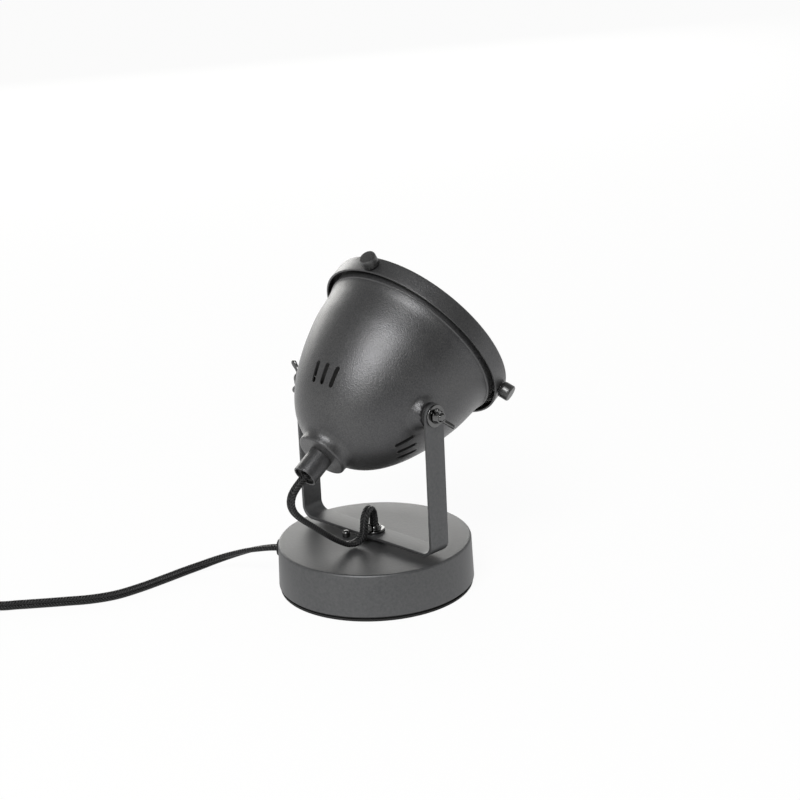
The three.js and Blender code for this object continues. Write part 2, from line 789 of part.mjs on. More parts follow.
function shade() {
  const outer = [...neckCurve(), ...bowlOutline()];
  const inner = inset(outer, shadeWall).filter((point, i) => i % 2 === 0);
  const innerBack = inner.slice().reverse();
  const bore = stemHole;
  const filletCentre = [neckRadius - neckFillet, neckEnd + neckFillet];
  const bowl = turned([
    [bore, neckEnd], ...arc(neckFillet, filletCentre, -1, 0), ...outer,
    [rimRadius, bowlFront - bowlFrontLength + rimStepLength], [rimRadius, rimFront],
    [mouthRadius, rimFront], [mouthRadius, bowlFront], ...innerBack,
    [neckRadius - shadeWall, neckFloor], [bore, neckFloor],
  ], sidesLarge);
  const pad = disc(pivotPadRadius, -pivotPadReach, pivotPadReach, sidesMedium).rotateY(Math.PI / 2);
  const padHollow = disc(pivotPadRadius - shadeWall, shadeWall - pivotPadReach, pivotPadReach - shadeWall,
    sidesMedium).rotateY(Math.PI / 2);
  const core = turned([
    [0, neckFloor], [neckRadius - shadeWall, neckFloor], ...inner, [mouthRadius, bowlFront], [0, bowlFront],
  ], sidesLarge);
  const boltHole = disc(boltRadius + holeClearance, -bowlRadius, bowlRadius, sidesSmall)
    .rotateY(Math.PI / 2);
  const screwHoles = [];
  for (let i = 0; i < groupCount; i += 1) {
    const degrees = groupStartDegrees + i * 360 / groupCount;
    screwHoles.push(disc(bushSpigotRadius + holeClearance, bowlRadius / 2, ringInner, sidesSmall)
      .rotateY(Math.PI / 2).translate(0, 0, ringScrewAt).rotateZ(THREE.MathUtils.degToRad(degrees)));
  }
  const raised = cut(join(bowl, pad), core);
  return cut(raised, padHollow, boltHole, ...screwHoles, ...ventSlots());
}

function neckSleeve() {
  const inner = sleeveRadius - sleeveWall;
  return turned([
    [inner, sleeveEnd], [sleeveRadius - sleeveLip, sleeveEnd], [sleeveRadius, sleeveEnd + sleeveLip],
    [sleeveRadius, sleeveFront], [stemHole, sleeveFront], [stemHole, sleeveFront - sleeveWeb],
    [inner, sleeveFront - sleeveWeb],
  ], sidesMedium);
}

const neckNutTop = sleeveFront - sleeveWeb - touchGap;

// The soft entry bushing sits a little inside the sleeve's mouth, round the lead.
const entryRadius = sleeveRadius - sleeveWall - holeClearance;

add(head, 'shade', shade(), sandedCoat);
add(head, 'neck_sleeve', neckSleeve(), sandedCoat);
add(head, 'neck_nipple', tube(stemRadius, stemBore, nippleRear, nippleFront, sidesSmall), zincPlate);
add(head, 'neck_nut', tube(neckNutRadius, stemHole, neckNutTop - neckNutHeight, neckNutTop, sidesSmall),
  zincPlate);
add(head, 'entry_bushing', tube(entryRadius, stemBore, entryEnd, entryEnd + entryLength, sidesSmall),
  blackRubber);

// Front ring: a band that stands off the rim, with its front turned in over the rim's edge

function frontRing() {
  const front = ringBack + ringDepth;
  const band = turned([
    [ringInner, ringBack], [ringRadius - ringEdge, ringBack], [ringRadius, ringBack + ringEdge],
    [ringRadius, front - ringFrontEdge], [ringRadius - ringFrontEdge, front], [mouthRadius, front],
    [mouthRadius, front - ringWall], [ringInner, front - ringWall],
  ], sidesLarge);
  const holes = [];
  for (let i = 0; i < groupCount; i += 1) {
    const degrees = groupStartDegrees + i * 360 / groupCount;
    holes.push(disc(ringScrewRadius + holeClearance, rimRadius, ringRadius + cutOverrun, sidesSmall)
      .rotateY(Math.PI / 2).translate(0, 0, ringScrewAt).rotateZ(THREE.MathUtils.degToRad(degrees)));
  }
  return cut(band, ...holes);
}

// A bush stands between the rim and the ring, and its flanged spigot goes through the rim.
function ringBush() {
  const bore = ringScrewRadius + holeClearance;
  const flangeTop = rimRadius - shadeWall - touchGap;
  return turned([
    [bore, flangeTop - bushFlangeThickness], [bushFlangeRadius, flangeTop - bushFlangeThickness],
    [bushFlangeRadius, flangeTop], [bushSpigotRadius, flangeTop], [bushSpigotRadius, rimRadius + touchGap],
    [bushRadius, rimRadius + touchGap], [bushRadius, ringInner - touchGap], [bore, ringInner - touchGap],
  ], sidesSmall);
}

function ringScrew() {
  const collarFoot = ringRadius + touchGap;
  const knobFoot = collarFoot + knobCollarHeight;
  const knobTop = knobFoot + knobHeight;
  const inside = rimRadius - shadeWall - bushFlangeThickness - ringScrewInside;
  return turned([
    [0, inside], [ringScrewRadius, inside], [ringScrewRadius, collarFoot], [knobCollarRadius, collarFoot],
    [knobCollarRadius, knobFoot], [knobRadius - knobChamfer, knobFoot], [knobRadius, knobFoot + knobChamfer],
    [knobRadius, knobTop - knobChamfer], [knobRadius - knobChamfer, knobTop], [0, knobTop],
  ], sidesSmall);
}

add(head, 'front_ring', frontRing(), sandedCoat);
for (let i = 0; i < groupCount; i += 1) {
  const post = new THREE.Group();
  post.position.z = ringScrewAt;
  post.rotation.z = THREE.MathUtils.degToRad(groupStartDegrees + i * 360 / groupCount);
  head.add(post);
  const radial = new THREE.Group();
  radial.rotation.y = Math.PI / 2;
  post.add(radial);
  add(radial, `ring_bush_${i + 1}`, ringBush(), zincPlate);
  add(radial, `ring_screw_${i + 1}`, ringScrew(), greyKnurl);
}

// Lampholder and bulb

function holderCap() {
  const front = holderRear + holderCapLength;
  const slope = holderRadius - holderCapFront;
  return turned([
    [stemHole, holderRear], [holderCapFront, holderRear], [holderRadius, holderRear + slope],
    [holderRadius, front], [stemBore, front], [stemBore, nippleFront + touchGap],
    [stemHole, nippleFront + touchGap],
  ], sidesMedium);
}

function holderBody() {
  const floorTop = holderBodyRear + holderFloor;
  const flangeBack = holderFront - holderFlangeThickness;
  const bore = shellRadius + holeClearance;
  return turned([
    [0, holderBodyRear], [holderRadius, holderBodyRear], [holderBodyFront, flangeBack],
    [holderFlangeRadius, flangeBack], [holderFlangeRadius, holderFront],
    [bore, holderFront], [bore, floorTop], [0, floorTop],
  ], sidesMedium);
}

function bulbCap() {
  const cone = bulbCapRadius / 2;
  return turned([
    [0, bulbTip], [bulbTipRadius, bulbTip], [bulbTipRadius, bulbCapRear],
    [bulbCapRadius - bulbTipLength, bulbCapRear], [bulbCapRadius, bulbCapRear + cone],
    [bulbCapRadius, bulbCapFront], [0, bulbCapFront],
  ], sidesSmall);
}

// The glass is a ball that runs into a neck.
function bulbGlass() {
  const neckFront = glassRear + bulbCollarLength + bulbNeckLength;
  const centre = neckFront + Math.sqrt(bulbRadius ** 2 - bulbNeckRadius ** 2);
  const firstAngle = -Math.acos(bulbNeckRadius / bulbRadius) / (Math.PI / 2);
  const ball = arc(bulbRadius, [0, centre], firstAngle, 1, bulbSteps);
  ball[ball.length - 1][0] = 0;
  return turned([
    [0, glassRear], [bulbCollarRadius, glassRear], [bulbCollarRadius, glassRear + bulbCollarLength], ...ball,
  ], sidesMedium);
}

add(head, 'holder_cap', holderCap(), blackPlastic);
add(head, 'holder_body', holderBody(), blackPlastic);
add(head, 'holder_shell', tube(shellRadius, shellRadius - shellWall, holderFront - holderFlangeThickness
  - shellLength, holderFront - holderFlangeThickness, sidesSmall), brass);
add(head, 'holder_contact', disc(contactRadius, contactBottom, contactBottom + contactThickness, sidesTiny),
  brass);
add(head, 'bulb_cap', bulbCap(), nickel);
add(head, 'bulb_glass', bulbGlass(), opalGlass);
add(head, 'holder_lead', leadAlong([
  [0, 0, entryEnd], [0, 0, (entryEnd + nippleRear) / 2], [0, 0, nippleRear], [0, 0, nippleFront],
], leadStep, sideways), fabric);

// Leads outside

add(group, 'head_lead', leadAlong(headLeadRoute, curledLeadStep, sideways), fabric);
const exitAcross = [-Math.sin(exitAngle), Math.cos(exitAngle), 0];
const exitPlace = outwards(grommetOuter + touchGap, exitHeight);
const mainsPoints = [
  exitPlace, ...mainsRoute.map(([x, y, z]) => [exitPlace[0] + x, exitPlace[1] + y, z]),
];
add(group, 'mains_lead', leadAlong(mainsPoints, leadStep, exitAcross, upwards, 1 / 3), fabric);

// The switch, coil and plug lie flat, beyond the mains lead's end and along its heading.
const park = new THREE.Group();
park.position.set(mainsPoints[mainsRoute.length][0], mainsPoints[mainsRoute.length][1], 0);
park.rotation.z = THREE.MathUtils.degToRad(parkHeadingDegrees);
group.add(park);

// Inline switch

function switchBody(height) {
  return extruded(roundedShape(switchLength, switchWidth, switchCorner), height)
    .translate(switchLength / 2 + touchGap, 0, 0);
}

function switchCover() {
  const bottom = switchHalfHeight + touchGap;
  const lower = switchBody(switchHalfHeight - switchEdge).translate(0, 0, bottom);
  const upper = extruded(
    roundedShape(switchLength - switchEdge * 2, switchWidth - switchEdge * 2, switchCorner - switchEdge),
    switchEdge * 2,
  ).translate(switchLength / 2 + touchGap, 0, switchHeight - switchEdge * 2);
  const depth = rockerHeight - rockerRise + rockerFloorGap;
  const pocket = box(rockerLength + rockerEndGap * 2, rockerWidth + rockerSideGap * 2, depth + cutOverrun,
    switchLength / 2 + touchGap, 0, switchHeight + (cutOverrun - depth) / 2);
  return cut(join(lower, upper), pocket);
}

// The rocker's top is two faces that meet in a shallow valley over its axle. It rests tipped.
function rocker() {
  const half = rockerLength / 2;
  const middle = rockerHeight / 2;
  const valley = rockerRise / 3;
  const outline = [
    [-half, -middle], [half, -middle], [half, middle], [0, middle - valley], [-half, middle],
  ];
  return extruded(shapeOf(outline), rockerWidth).rotateX(Math.PI / 2)
    .translate(0, rockerWidth / 2, 0).rotateY(THREE.MathUtils.degToRad(rockerTiltDegrees))
    .translate(switchLength / 2 + touchGap, 0, switchHeight + rockerRise - middle);
}

add(park, 'switch_base', switchBody(switchHalfHeight), blackPlastic);
add(park, 'switch_cover', switchCover(), blackPlastic);
add(park, 'switch_rocker', rocker(), blackPlastic);

const switchEnd = switchLength + touchGap * 2;
const leadInSwitch = switchHalfHeight;
const coilBottomMiddle = coilFloor + leadWidth / 2;
add(park, 'link_lead', leadAlong([
  [switchEnd, 0, leadInSwitch], [switchEnd + linkLength / 5, 0, leadInSwitch],
  [switchEnd + linkLength / 2, 0, (leadInSwitch + coilBottomMiddle) / 2],
  [switchEnd + linkLength * 4 / 5, 0, coilBottomMiddle], [switchEnd + linkLength, 0, coilBottomMiddle],
], leadStep, upwards), fabric);

// Coil

// The turns go inwards and outwards in layers, and climb where they turn back.
class CoilPath extends THREE.Curve {
  constructor() {
    super();
    this.straight = leadWidth / (Math.PI * 2 * coilMiddleRadius);
    this.turns = coilTurns + this.straight * 2;
  }

  radiusAt(turn) {
    const layer = Math.floor(turn / turnsInLayer);
    const travelled = (turn - layer * turnsInLayer) * coilTravelPerTurn;
    return layer % 2 ? coilInner + travelled : coilOuter - travelled;
  }

  heightAt(turn) {
    let layers = 0;
    for (let reversal = 1; reversal < coilLayers; reversal += 1) {
      const place = (turn - reversal * turnsInLayer) / coilClimbShare;
      layers += THREE.MathUtils.smoothstep(place, -1, 1);
    }
    return coilBottomMiddle + layers * coilLayerHeight;
  }

  getPoint(share) {
    const turn = share * this.turns - this.straight;
    const kept = THREE.MathUtils.clamp(turn, 0, coilTurns);
    const angle = kept * Math.PI * 2 - Math.PI / 2;
    const radius = kept < coilTurns ? this.radiusAt(kept) : coilOuter;
    const overrun = (turn - kept) * Math.PI * 2 * coilMiddleRadius;
    return new THREE.Vector3(
      radius * Math.cos(angle) - overrun * Math.sin(angle),
      radius * Math.sin(angle) + overrun * Math.cos(angle),
      this.heightAt(kept),
    );
  }

  getSpacedPoints(steps) {
    return this.getPoints(steps);
  }

  getTangentAt(share) {
    return this.getTangent(share);
  }
}

function leadCoil() {
  const path = holdWide(new CoilPath(), upwards);
  const steps = Math.round(path.turns * coilStepsPerTurn);
  const middles = path.getPoints(steps);
  let least = Infinity;
  for (let i = 0; i < middles.length; i += 1) {
    for (let j = i + coilStepsPerTurn / 2; j < middles.length; j += 1) {
      const apart = Math.hypot(middles[i].x - middles[j].x, middles[i].y - middles[j].y) - leadThickness;
      const above = Math.abs(middles[i].z - middles[j].z) - leadWidth;
      least = Math.min(least, Math.max(apart, above));
    }
  }
  console.log(`Least gap between the coil's turns: ${least.toFixed(2)} mm`);
  return new THREE.ExtrudeGeometry(leadSection(coilSides), {
    steps, bevelEnabled: false, extrudePath: path,
  });
}

// The tie is a band round all the turns.
function coilTie() {
  const width = coilSpan + leadThickness + tieGap * 2;
  const height = coilTopMiddle + leadWidth / 2 + tieGap - coilFloor + tieGap;
  const band = box(tieWidth, width + tieWall * 2, height + tieWall * 2, 0, coilMiddleRadius,
    tieWall + height / 2);
  const hollow = box(tieWidth + cutOverrun, width, height, 0, coilMiddleRadius, tieWall + height / 2);
  return cut(band, hollow);
}

const coilGroup = new THREE.Group();
coilGroup.position.set(coilAlong, coilOuter, 0);
park.add(coilGroup);
add(coilGroup, 'lead_coil', leadCoil(), fabric);
add(coilGroup, 'coil_tie', coilTie(), blackPlastic);

// The tail leaves the coil a quarter turn past its start, so it heads across the park's own heading.
const tail = new THREE.Group();
tail.position.set(coilAlong + coilOuter, coilOuter, 0);
tail.rotation.z = Math.PI / 2;
park.add(tail);
const plugMiddle = plugHeight / 2;
const tailStart = leadWidth + touchGap;
const tailEnd = tailStart + tailLength;
add(tail, 'tail_lead', leadAlong([
  [tailStart, 0, coilTopMiddle], [tailStart + tailLength / 6, 0, coilTopMiddle],
  [tailStart + tailLength / 2, 0, (coilTopMiddle + plugMiddle) / 2],
  [tailEnd - tailLength / 6, 0, plugMiddle], [tailEnd, 0, plugMiddle],
], leadStep, upwards, [0, 1, 0]), fabric);

// Plug

function plugBody() {
  const half = plugFaceWidth / 2;
  const tail = plugTailWidth / 2;
  const topView = [
    [0, -half], [plugShoulder, -half], [plugLength, -tail], [plugLength, tail], [plugShoulder, half],
    [0, half],
  ];
  const middle = plugHeight / 2;
  const sideView = [
    [0, 0], [plugShoulder, 0], [plugLength, middle - plugTailHeight / 2],
    [plugLength, middle + plugTailHeight / 2], [plugShoulder, plugHeight], [0, plugHeight],
  ];
  const body = common(
    extruded(shapeOf(topView), plugHeight),
    extruded(shapeOf(sideView), plugFaceWidth).rotateX(Math.PI / 2).translate(0, half, 0),
  );
  const boot = turned([
    [0, plugLength - touchGap], [plugBootRootRadius, plugLength - touchGap],
    [plugBootTipRadius, plugLength + plugBootLength], [0, plugLength + plugBootLength],
  ], sidesTiny).rotateY(Math.PI / 2).translate(0, 0, middle);
  const bore = plugPinRadius + holeClearance;
  const seats = [-1, 1].map((side) => disc(bore, -cutOverrun, plugPinSeat, sidesTiny)
    .rotateY(Math.PI / 2).translate(0, side * plugPinSpacing / 2, middle));
  return cut(join(body, boot), ...seats);
}

function plugPins() {
  return [-1, 1].map((side) => disc(plugPinRadius, -plugPinLength, plugPinSeat - touchGap, sidesTiny)
    .rotateY(Math.PI / 2).translate(0, side * plugPinSpacing / 2, plugHeight / 2));
}

const plug = new THREE.Group();
plug.position.set(tailEnd + touchGap + plugBootLength + plugLength, 0, 0);
plug.rotation.z = Math.PI;
tail.add(plug);
add(plug, 'plug_body', plugBody(), blackPlastic);
plugPins().forEach((pin, i) => add(plug, `plug_pin_${i + 1}`, pin, nickel));

export default group;
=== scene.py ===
import math

import bmesh
import bpy
from mathutils import Matrix, Vector


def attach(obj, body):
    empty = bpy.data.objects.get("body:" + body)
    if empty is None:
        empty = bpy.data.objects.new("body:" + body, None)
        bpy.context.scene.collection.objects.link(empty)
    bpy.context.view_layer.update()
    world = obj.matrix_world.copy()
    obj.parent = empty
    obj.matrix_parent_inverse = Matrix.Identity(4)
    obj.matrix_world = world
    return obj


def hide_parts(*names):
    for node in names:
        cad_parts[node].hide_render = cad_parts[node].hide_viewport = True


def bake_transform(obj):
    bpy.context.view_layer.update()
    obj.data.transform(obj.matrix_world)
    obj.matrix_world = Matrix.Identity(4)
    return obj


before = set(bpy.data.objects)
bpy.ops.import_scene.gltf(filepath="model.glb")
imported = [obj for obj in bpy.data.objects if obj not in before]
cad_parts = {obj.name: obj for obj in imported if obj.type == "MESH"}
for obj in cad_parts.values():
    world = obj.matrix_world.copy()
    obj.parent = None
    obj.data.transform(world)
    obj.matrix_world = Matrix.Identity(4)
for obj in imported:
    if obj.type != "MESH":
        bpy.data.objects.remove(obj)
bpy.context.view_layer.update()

# Studio: a white sweep of paper in a white room with a dim ceiling and one dark side, with a
# softbox above the camera and a long one behind the lamp. The camera looks down from behind the
# lamp's left shoulder, rolled by under three degrees. Sizes here are in metres.
FLOOR_SIZE = 12.0
FLOOR_DROP = 0.0001
PAPER = "f2f2f0"
PAPER_GLOW = 0.94
WALL_LIGHT = 1.0
CEILING_LIGHT = 0.2
DARK_SIDE = (-0.985, 0.174, 0)
DARK_LIGHT = 0.12
DARK_EDGE = (0.5, 0.95)
CAMERA_PLACE = Vector((-0.9901, 0.9589, 0.5993))
CAMERA_LOOK = Vector((0.6689, -0.6666, -0.3289))
CAMERA_RIGHT = Vector((-0.7161, -0.6966, -0.0445))
CAMERA_LENS_MM = 108
CAMERA_FILM_MM = 36
SOFTBOXES = (
    ("key_softbox", (-0.52, 1.06, 1.3), (0.7, 0.7), 22, "ffffff"),
    ("back_softbox", (1.36, -0.88, 0.42), (1.6, 0.6), 12, "fffefa"),
)
SOFTBOX_AIM = Vector((0, 0, 0.1))


def linear(colour):
    """The linear colour of an sRGB hex value."""
    shares = [int(colour[i:i + 2], 16) / 255 for i in (0, 2, 4)]
    return [s / 12.92 if s <= 0.04045 else ((s + 0.055) / 1.055) ** 2.4 for s in shares] + [1]


def add_node(tree, kind, settings=None, inputs=None):
    """Adds a node. An input is given a value, or is linked where it is given a socket."""
    made = tree.nodes.new(kind)
    for name, value in (settings or {}).items():
        setattr(made, name, value)
    for name, value in (inputs or {}).items():
        if isinstance(value, bpy.types.NodeSocket):
            tree.links.new(value, made.inputs[name])
        else:
            made.inputs[name].default_value = value
    return made


def new_material(name):
    material = bpy.data.materials.new(name)
    material.use_nodes = True
    material.node_tree.nodes.clear()
    return material


def any_ray(tree, first, *others):
    """1 for these kinds of ray, and 0 for the rays that light the object."""
    path = add_node(tree, "ShaderNodeLightPath")
    seen = path.outputs[first]
    for kind in others:
        seen = add_node(tree, "ShaderNodeMath", {"operation": "MAXIMUM"}, {
            0: seen, 1: path.outputs[kind]}).outputs[0]
    return seen


camera = bpy.data.objects.new("camera", bpy.data.cameras.new("camera"))
bpy.context.scene.collection.objects.link(camera)
camera.data.lens = CAMERA_LENS_MM
camera.data.sensor_width = CAMERA_FILM_MM
camera.data.clip_end = FLOOR_SIZE * 2
look = CAMERA_LOOK.normalized()
right = (CAMERA_RIGHT - look * CAMERA_RIGHT.dot(look)).normalized()
turn = Matrix((right, right.cross(look), -look)).transposed()
camera.matrix_world = Matrix.Translation(CAMERA_PLACE) @ turn.to_4x4()
bpy.context.scene.camera = camera
bpy.context.scene.view_settings.view_transform = "Standard"

# White room: its walls light the lamp, less from overhead and least from the dark side. DARK_EDGE
# holds the cosines between which the dark begins and is full. The camera sees plain white.
world = bpy.data.worlds.new("white_room")
bpy.context.scene.world = world
world.use_nodes = True
world.node_tree.nodes.clear()
direction = add_node(world.node_tree, "ShaderNodeTexCoord")
height = add_node(world.node_tree, "ShaderNodeSeparateXYZ", None, {0: direction.outputs["Generated"]})
wall_light = add_node(world.node_tree, "ShaderNodeMapRange", None, {
    "Value": height.outputs["Z"], "To Min": WALL_LIGHT, "To Max": CEILING_LIGHT})
to_dark_side = add_node(world.node_tree, "ShaderNodeVectorMath", {"operation": "DOT_PRODUCT"}, {
    0: direction.outputs["Generated"], 1: DARK_SIDE})
side_light = add_node(world.node_tree, "ShaderNodeMapRange", None, {
    "Value": to_dark_side.outputs["Value"], "From Min": DARK_EDGE[0], "From Max": DARK_EDGE[1],
    "To Min": 1, "To Max": DARK_LIGHT})
room_light = add_node(world.node_tree, "ShaderNodeMath", {"operation": "MULTIPLY"}, {
    0: wall_light.outputs[0], 1: side_light.outputs[0]})
room = add_node(world.node_tree, "ShaderNodeBackground", None, {
    "Color": linear(PAPER), "Strength": room_light.outputs[0]})
seen_room = add_node(world.node_tree, "ShaderNodeBackground", None, {
    "Color": (1, 1, 1, 1), "Strength": 1})
mixed_room = add_node(world.node_tree, "ShaderNodeMixShader", None, {
    0: any_ray(world.node_tree, "Is Camera Ray", "Is Transmission Ray"),
    1: room.outputs[0], 2: seen_room.outputs[0]})
add_node(world.node_tree, "ShaderNodeOutputWorld", None, {"Surface": mixed_room.outputs[0]})

# Matt paper: it shows white to the camera and in gloss and glass, and keeps a trace of shadow.
paper = new_material("matt_white_paper")
tree = paper.node_tree
sheet_face = add_node(tree, "ShaderNodeBsdfDiffuse", None, {"Color": linear(PAPER)})
glow = add_node(tree, "ShaderNodeEmission", None, {"Color": (1, 1, 1, 1), "Strength": 1})
seen = any_ray(tree, "Is Camera Ray", "Is Glossy Ray", "Is Transmission Ray")
share = add_node(tree, "ShaderNodeMath", {"operation": "MULTIPLY"}, {0: seen, 1: PAPER_GLOW})
lit_paper = add_node(tree, "ShaderNodeMixShader", None, {
    0: share.outputs[0], 1: sheet_face.outputs[0], 2: glow.outputs[0]})
add_node(tree, "ShaderNodeOutputMaterial", None, {"Surface": lit_paper.outputs[0]})

floor_mesh = bmesh.new()
bmesh.ops.create_grid(floor_mesh, x_segments=2, y_segments=2, size=FLOOR_SIZE / 2)
bmesh.ops.translate(floor_mesh, verts=floor_mesh.verts, vec=(0, 0, -FLOOR_DROP))
floor = bpy.data.objects.new("paper_sweep", bpy.data.meshes.new("paper_sweep"))
floor_mesh.to_mesh(floor.data)
floor_mesh.free()
floor.data.materials.append(paper)
bpy.context.scene.collection.objects.link(floor)

for name, place, size, power, colour in SOFTBOXES:
    lamp = bpy.data.objects.new(name, bpy.data.lights.new(name, "AREA"))
    lamp.data.color = linear(colour)[:3]
    lamp.data.shape = "RECTANGLE"
    lamp.data.size, lamp.data.size_y = size
    lamp.data.energy = power
    lamp.location = place
    aim = SOFTBOX_AIM - Vector(place)
    lamp.rotation_euler = aim.to_track_quat("-Z", "Y").to_euler()
    bpy.context.scene.collection.objects.link(lamp)

# Flat two-core lead, 6 mm wide, in a black woven cotton cover. Two round cores lie side by side,
# so a shallow valley runs along each wide face. The stretch outside the base lies on its edge on
# the table, and the rest of it is wound into a tied coil beyond the switch, as for storage.
MM = 0.001
TOUCH_GAP = 0.3
CREASE = math.radians(38)
LEAD_SIDES = 32
LEAD_STEP = 1.2
CURVE_STEPS = 24
CORE_RADIUS = 1.65
CORE_OFFSET = 1.35
BRAID_PITCH = 1.9
BRAID_CLIMB = 1.8
BRAID_RELIEF = 0.6
THREAD_PITCH = 0.4
LEAD_GAP_SHADE = "030303"
LEAD_STRAND_LIGHT = "262627"
MAINS_ROUTE = (
    (53.32, 33.32, 20.5), (57.6, 36.0, 20.1), (63.4, 38.9, 18.9), (71.0, 41.3, 16.6),
    (79.0, 43.4, 13.4), (86.6, 46.6, 10.2), (93.4, 51.8, 7.2), (98.6, 59.4, 4.8), (102.2, 70.0, 3.4),
    (103.8, 86.0, 3.0), (105.2, 103.6, 3.0), (108.4, 120.4, 3.0), (115.6, 134.4, 3.0),
    (125.6, 146.6, 3.0), (137.6, 160.4, 3.0), (145.6, 169.3, 3.0), (150.2, 175.1, 3.1),
    (153.9, 180.2, 3.9), (156.6, 185.7, 5.4), (158.0, 191.7, 7.1), (158.2, 197.7, 8.0),
    (158.0, 202.7, 8.0),
)
HEAD_ROUTE = (
    (0, 54.6, 87.9), (0, 59.5, 84.8), (0, 63.8, 81.7), (0, 66.9, 78.0), (0, 67.9, 73.2),
    (0, 65.9, 67.8), (0, 61.0, 62.2), (0, 54.5, 56.6), (0, 47.0, 50.6), (0, 39.5, 44.4), (0, 32.2, 38.6),
    (-0.5, 25.4, 34.2), (-1.2, 19.4, 32.7), (-2.2, 14.9, 33.9), (-3.2, 12.6, 37.6),
    (-3.8, 12.2, 42.4), (-3.6, 11.2, 47.0), (-2.6, 8.0, 50.6), (-1.2, 4.0, 51.2), (-0.2, 0.9, 48.2),
    (0, 0, 43.6), (0, 0, 38.8),
)
EXIT_ANGLE = math.radians(32)
EDGE_SHARE = 1 / 3
PARK_PLACE = (0.158025, 0.202721, 0)
PARK = Matrix.Translation(PARK_PLACE) @ Matrix.Rotation(math.radians(92), 4, "Z")
LINK_ROUTE = ((60.6, 0, 8), (67.8, 0, 8), (78.6, 0, 6.3), (89.4, 0, 4.6), (96.6, 0, 4.6))
TAIL_ROUTE = ((139.7, 43.1, 24.4), (139.7, 50.1, 24.4), (139.7, 64.1, 15.6), (139.7, 78.1, 6.85),
              (139.7, 85.1, 6.85))
COIL_MIDDLE = (102.9, 36.8)
COIL_OUTER = 36.8
COIL_TRAVEL = 6.4
COIL_TURNS = 7.25
COIL_LAYERS = 4
COIL_BOTTOM = 4.6
COIL_LAYER_HEIGHT = 6.6
COIL_CLIMB = 0.19
COIL_STEPS = 60


def linked_piece(mesh, name, material):
    """A piece from mesh data under construction, smooth but for its real corners."""
    bmesh.ops.recalc_face_normals(mesh, faces=mesh.faces)
    data = bpy.data.meshes.new(name)
    mesh.to_mesh(data)
    mesh.free()
    piece = bpy.data.objects.new(name, data)
    bpy.context.scene.collection.objects.link(piece)
    data.materials.append(material)
    data.shade_smooth()
    data.set_sharp_from_angle(angle=CREASE)
    return piece


def skin(mesh, rings, closed=False, capped=False):
    """Faces from each ring of points to the next. A ring of one point is a tip."""
    faces = []
    for lower, upper in zip(rings, rings[1:] + (rings[:1] if closed else [])):
        sides = max(len(lower), len(upper))
        for i in range(sides):
            j = (i + 1) % sides
            corners = (lower[i % len(lower)], lower[j % len(lower)],
                       upper[j % len(upper)], upper[i % len(upper)])
            faces.append(mesh.faces.new(dict.fromkeys(corners)))
    if capped:
        mesh.faces.new(rings[0])
        mesh.faces.new(rings[-1])
    return faces


def metres(route):
    return [Vector(point) * MM for point in route]


def even_curve(points, step=LEAD_STEP * MM):
    """Points at even steps on the smooth curve through the given ones."""
    ends = [points[0] * 2 - points[1], *points, points[-1] * 2 - points[-2]]
    fine = []
    for before, start, end, after in zip(ends, ends[1:], ends[2:], ends[3:]):
        for i in range(CURVE_STEPS):
            t = i / CURVE_STEPS
            fine.append(0.5 * (start * 2 + (end - before) * t
                               + (before * 2 - start * 5 + end * 4 - after) * t * t
                               + (start * 3 - before - end * 3 + after) * t ** 3))
    fine.append(points[-1])
    return evenly(fine, step)


def evenly(fine, step):
    reach = [0.0]
    for start, end in zip(fine, fine[1:]):
        reach.append(reach[-1] + (end - start).length)
    count = round(reach[-1] / step)
    even = []
    place = 0
    for i in range(count + 1):
        wanted = reach[-1] * i / count
        while place < len(fine) - 2 and reach[place + 1] < wanted:
            place += 1
        t = (wanted - reach[place]) / (reach[place + 1] - reach[place])
        even.append(fine[place].lerp(fine[place + 1], t))
    return even


def route_length(points):
    return sum((end - start).length for start, end in zip(points, points[1:]))


def lead_section():
    """Two round cores side by side under one tight cover, as (thin, wide) offsets in mm."""
    section = []
    for i in range(LEAD_SIDES):
        thin, wide = math.cos(i / LEAD_SIDES * 2 * math.pi), math.sin(i / LEAD_SIDES * 2 * math.pi)
        reach = CORE_OFFSET * abs(wide) + math.sqrt(CORE_RADIUS ** 2 - (CORE_OFFSET * thin) ** 2)
        section.append((thin * reach, wide * reach))
    return section


def lead_along(name, path, wide_sides, material):
    """The lead on a path. Its wide side points along each direction from its share of the path."""
    mesh = bmesh.new()
    layer = mesh.loops.layers.uv.new("lead")
    section = lead_section()
    rings = []
    for i, middle in enumerate(path):
        before = path[max(i - 1, 0)]
        after = path[min(i + 1, len(path) - 1)]
        along = (after - before).normalized()
        at = i / (len(path) - 1)
        for (first, start), (last, end) in zip(wide_sides, wide_sides[1:]):
            if first <= at <= last:
                wide = Vector(start).lerp(Vector(end), (at - first) / (last - first))
                break
        wide = (wide - along * wide.dot(along)).normalized()
        thin = wide.cross(along)
        rings.append([mesh.verts.new(middle + (thin * x + wide * y) * MM) for x, y in section])
    corners = ((0, 0), (0, 1), (1, 1), (1, 0))
    for number, face in enumerate(skin(mesh, rings, capped=True)):
        i, j = divmod(number, LEAD_SIDES)
        for loop, (on, around) in zip(face.loops, corners):
            loop[layer].uv = ((i + on) * LEAD_STEP * MM, (j + around) / LEAD_SIDES)
    return linked_piece(mesh, name, material)
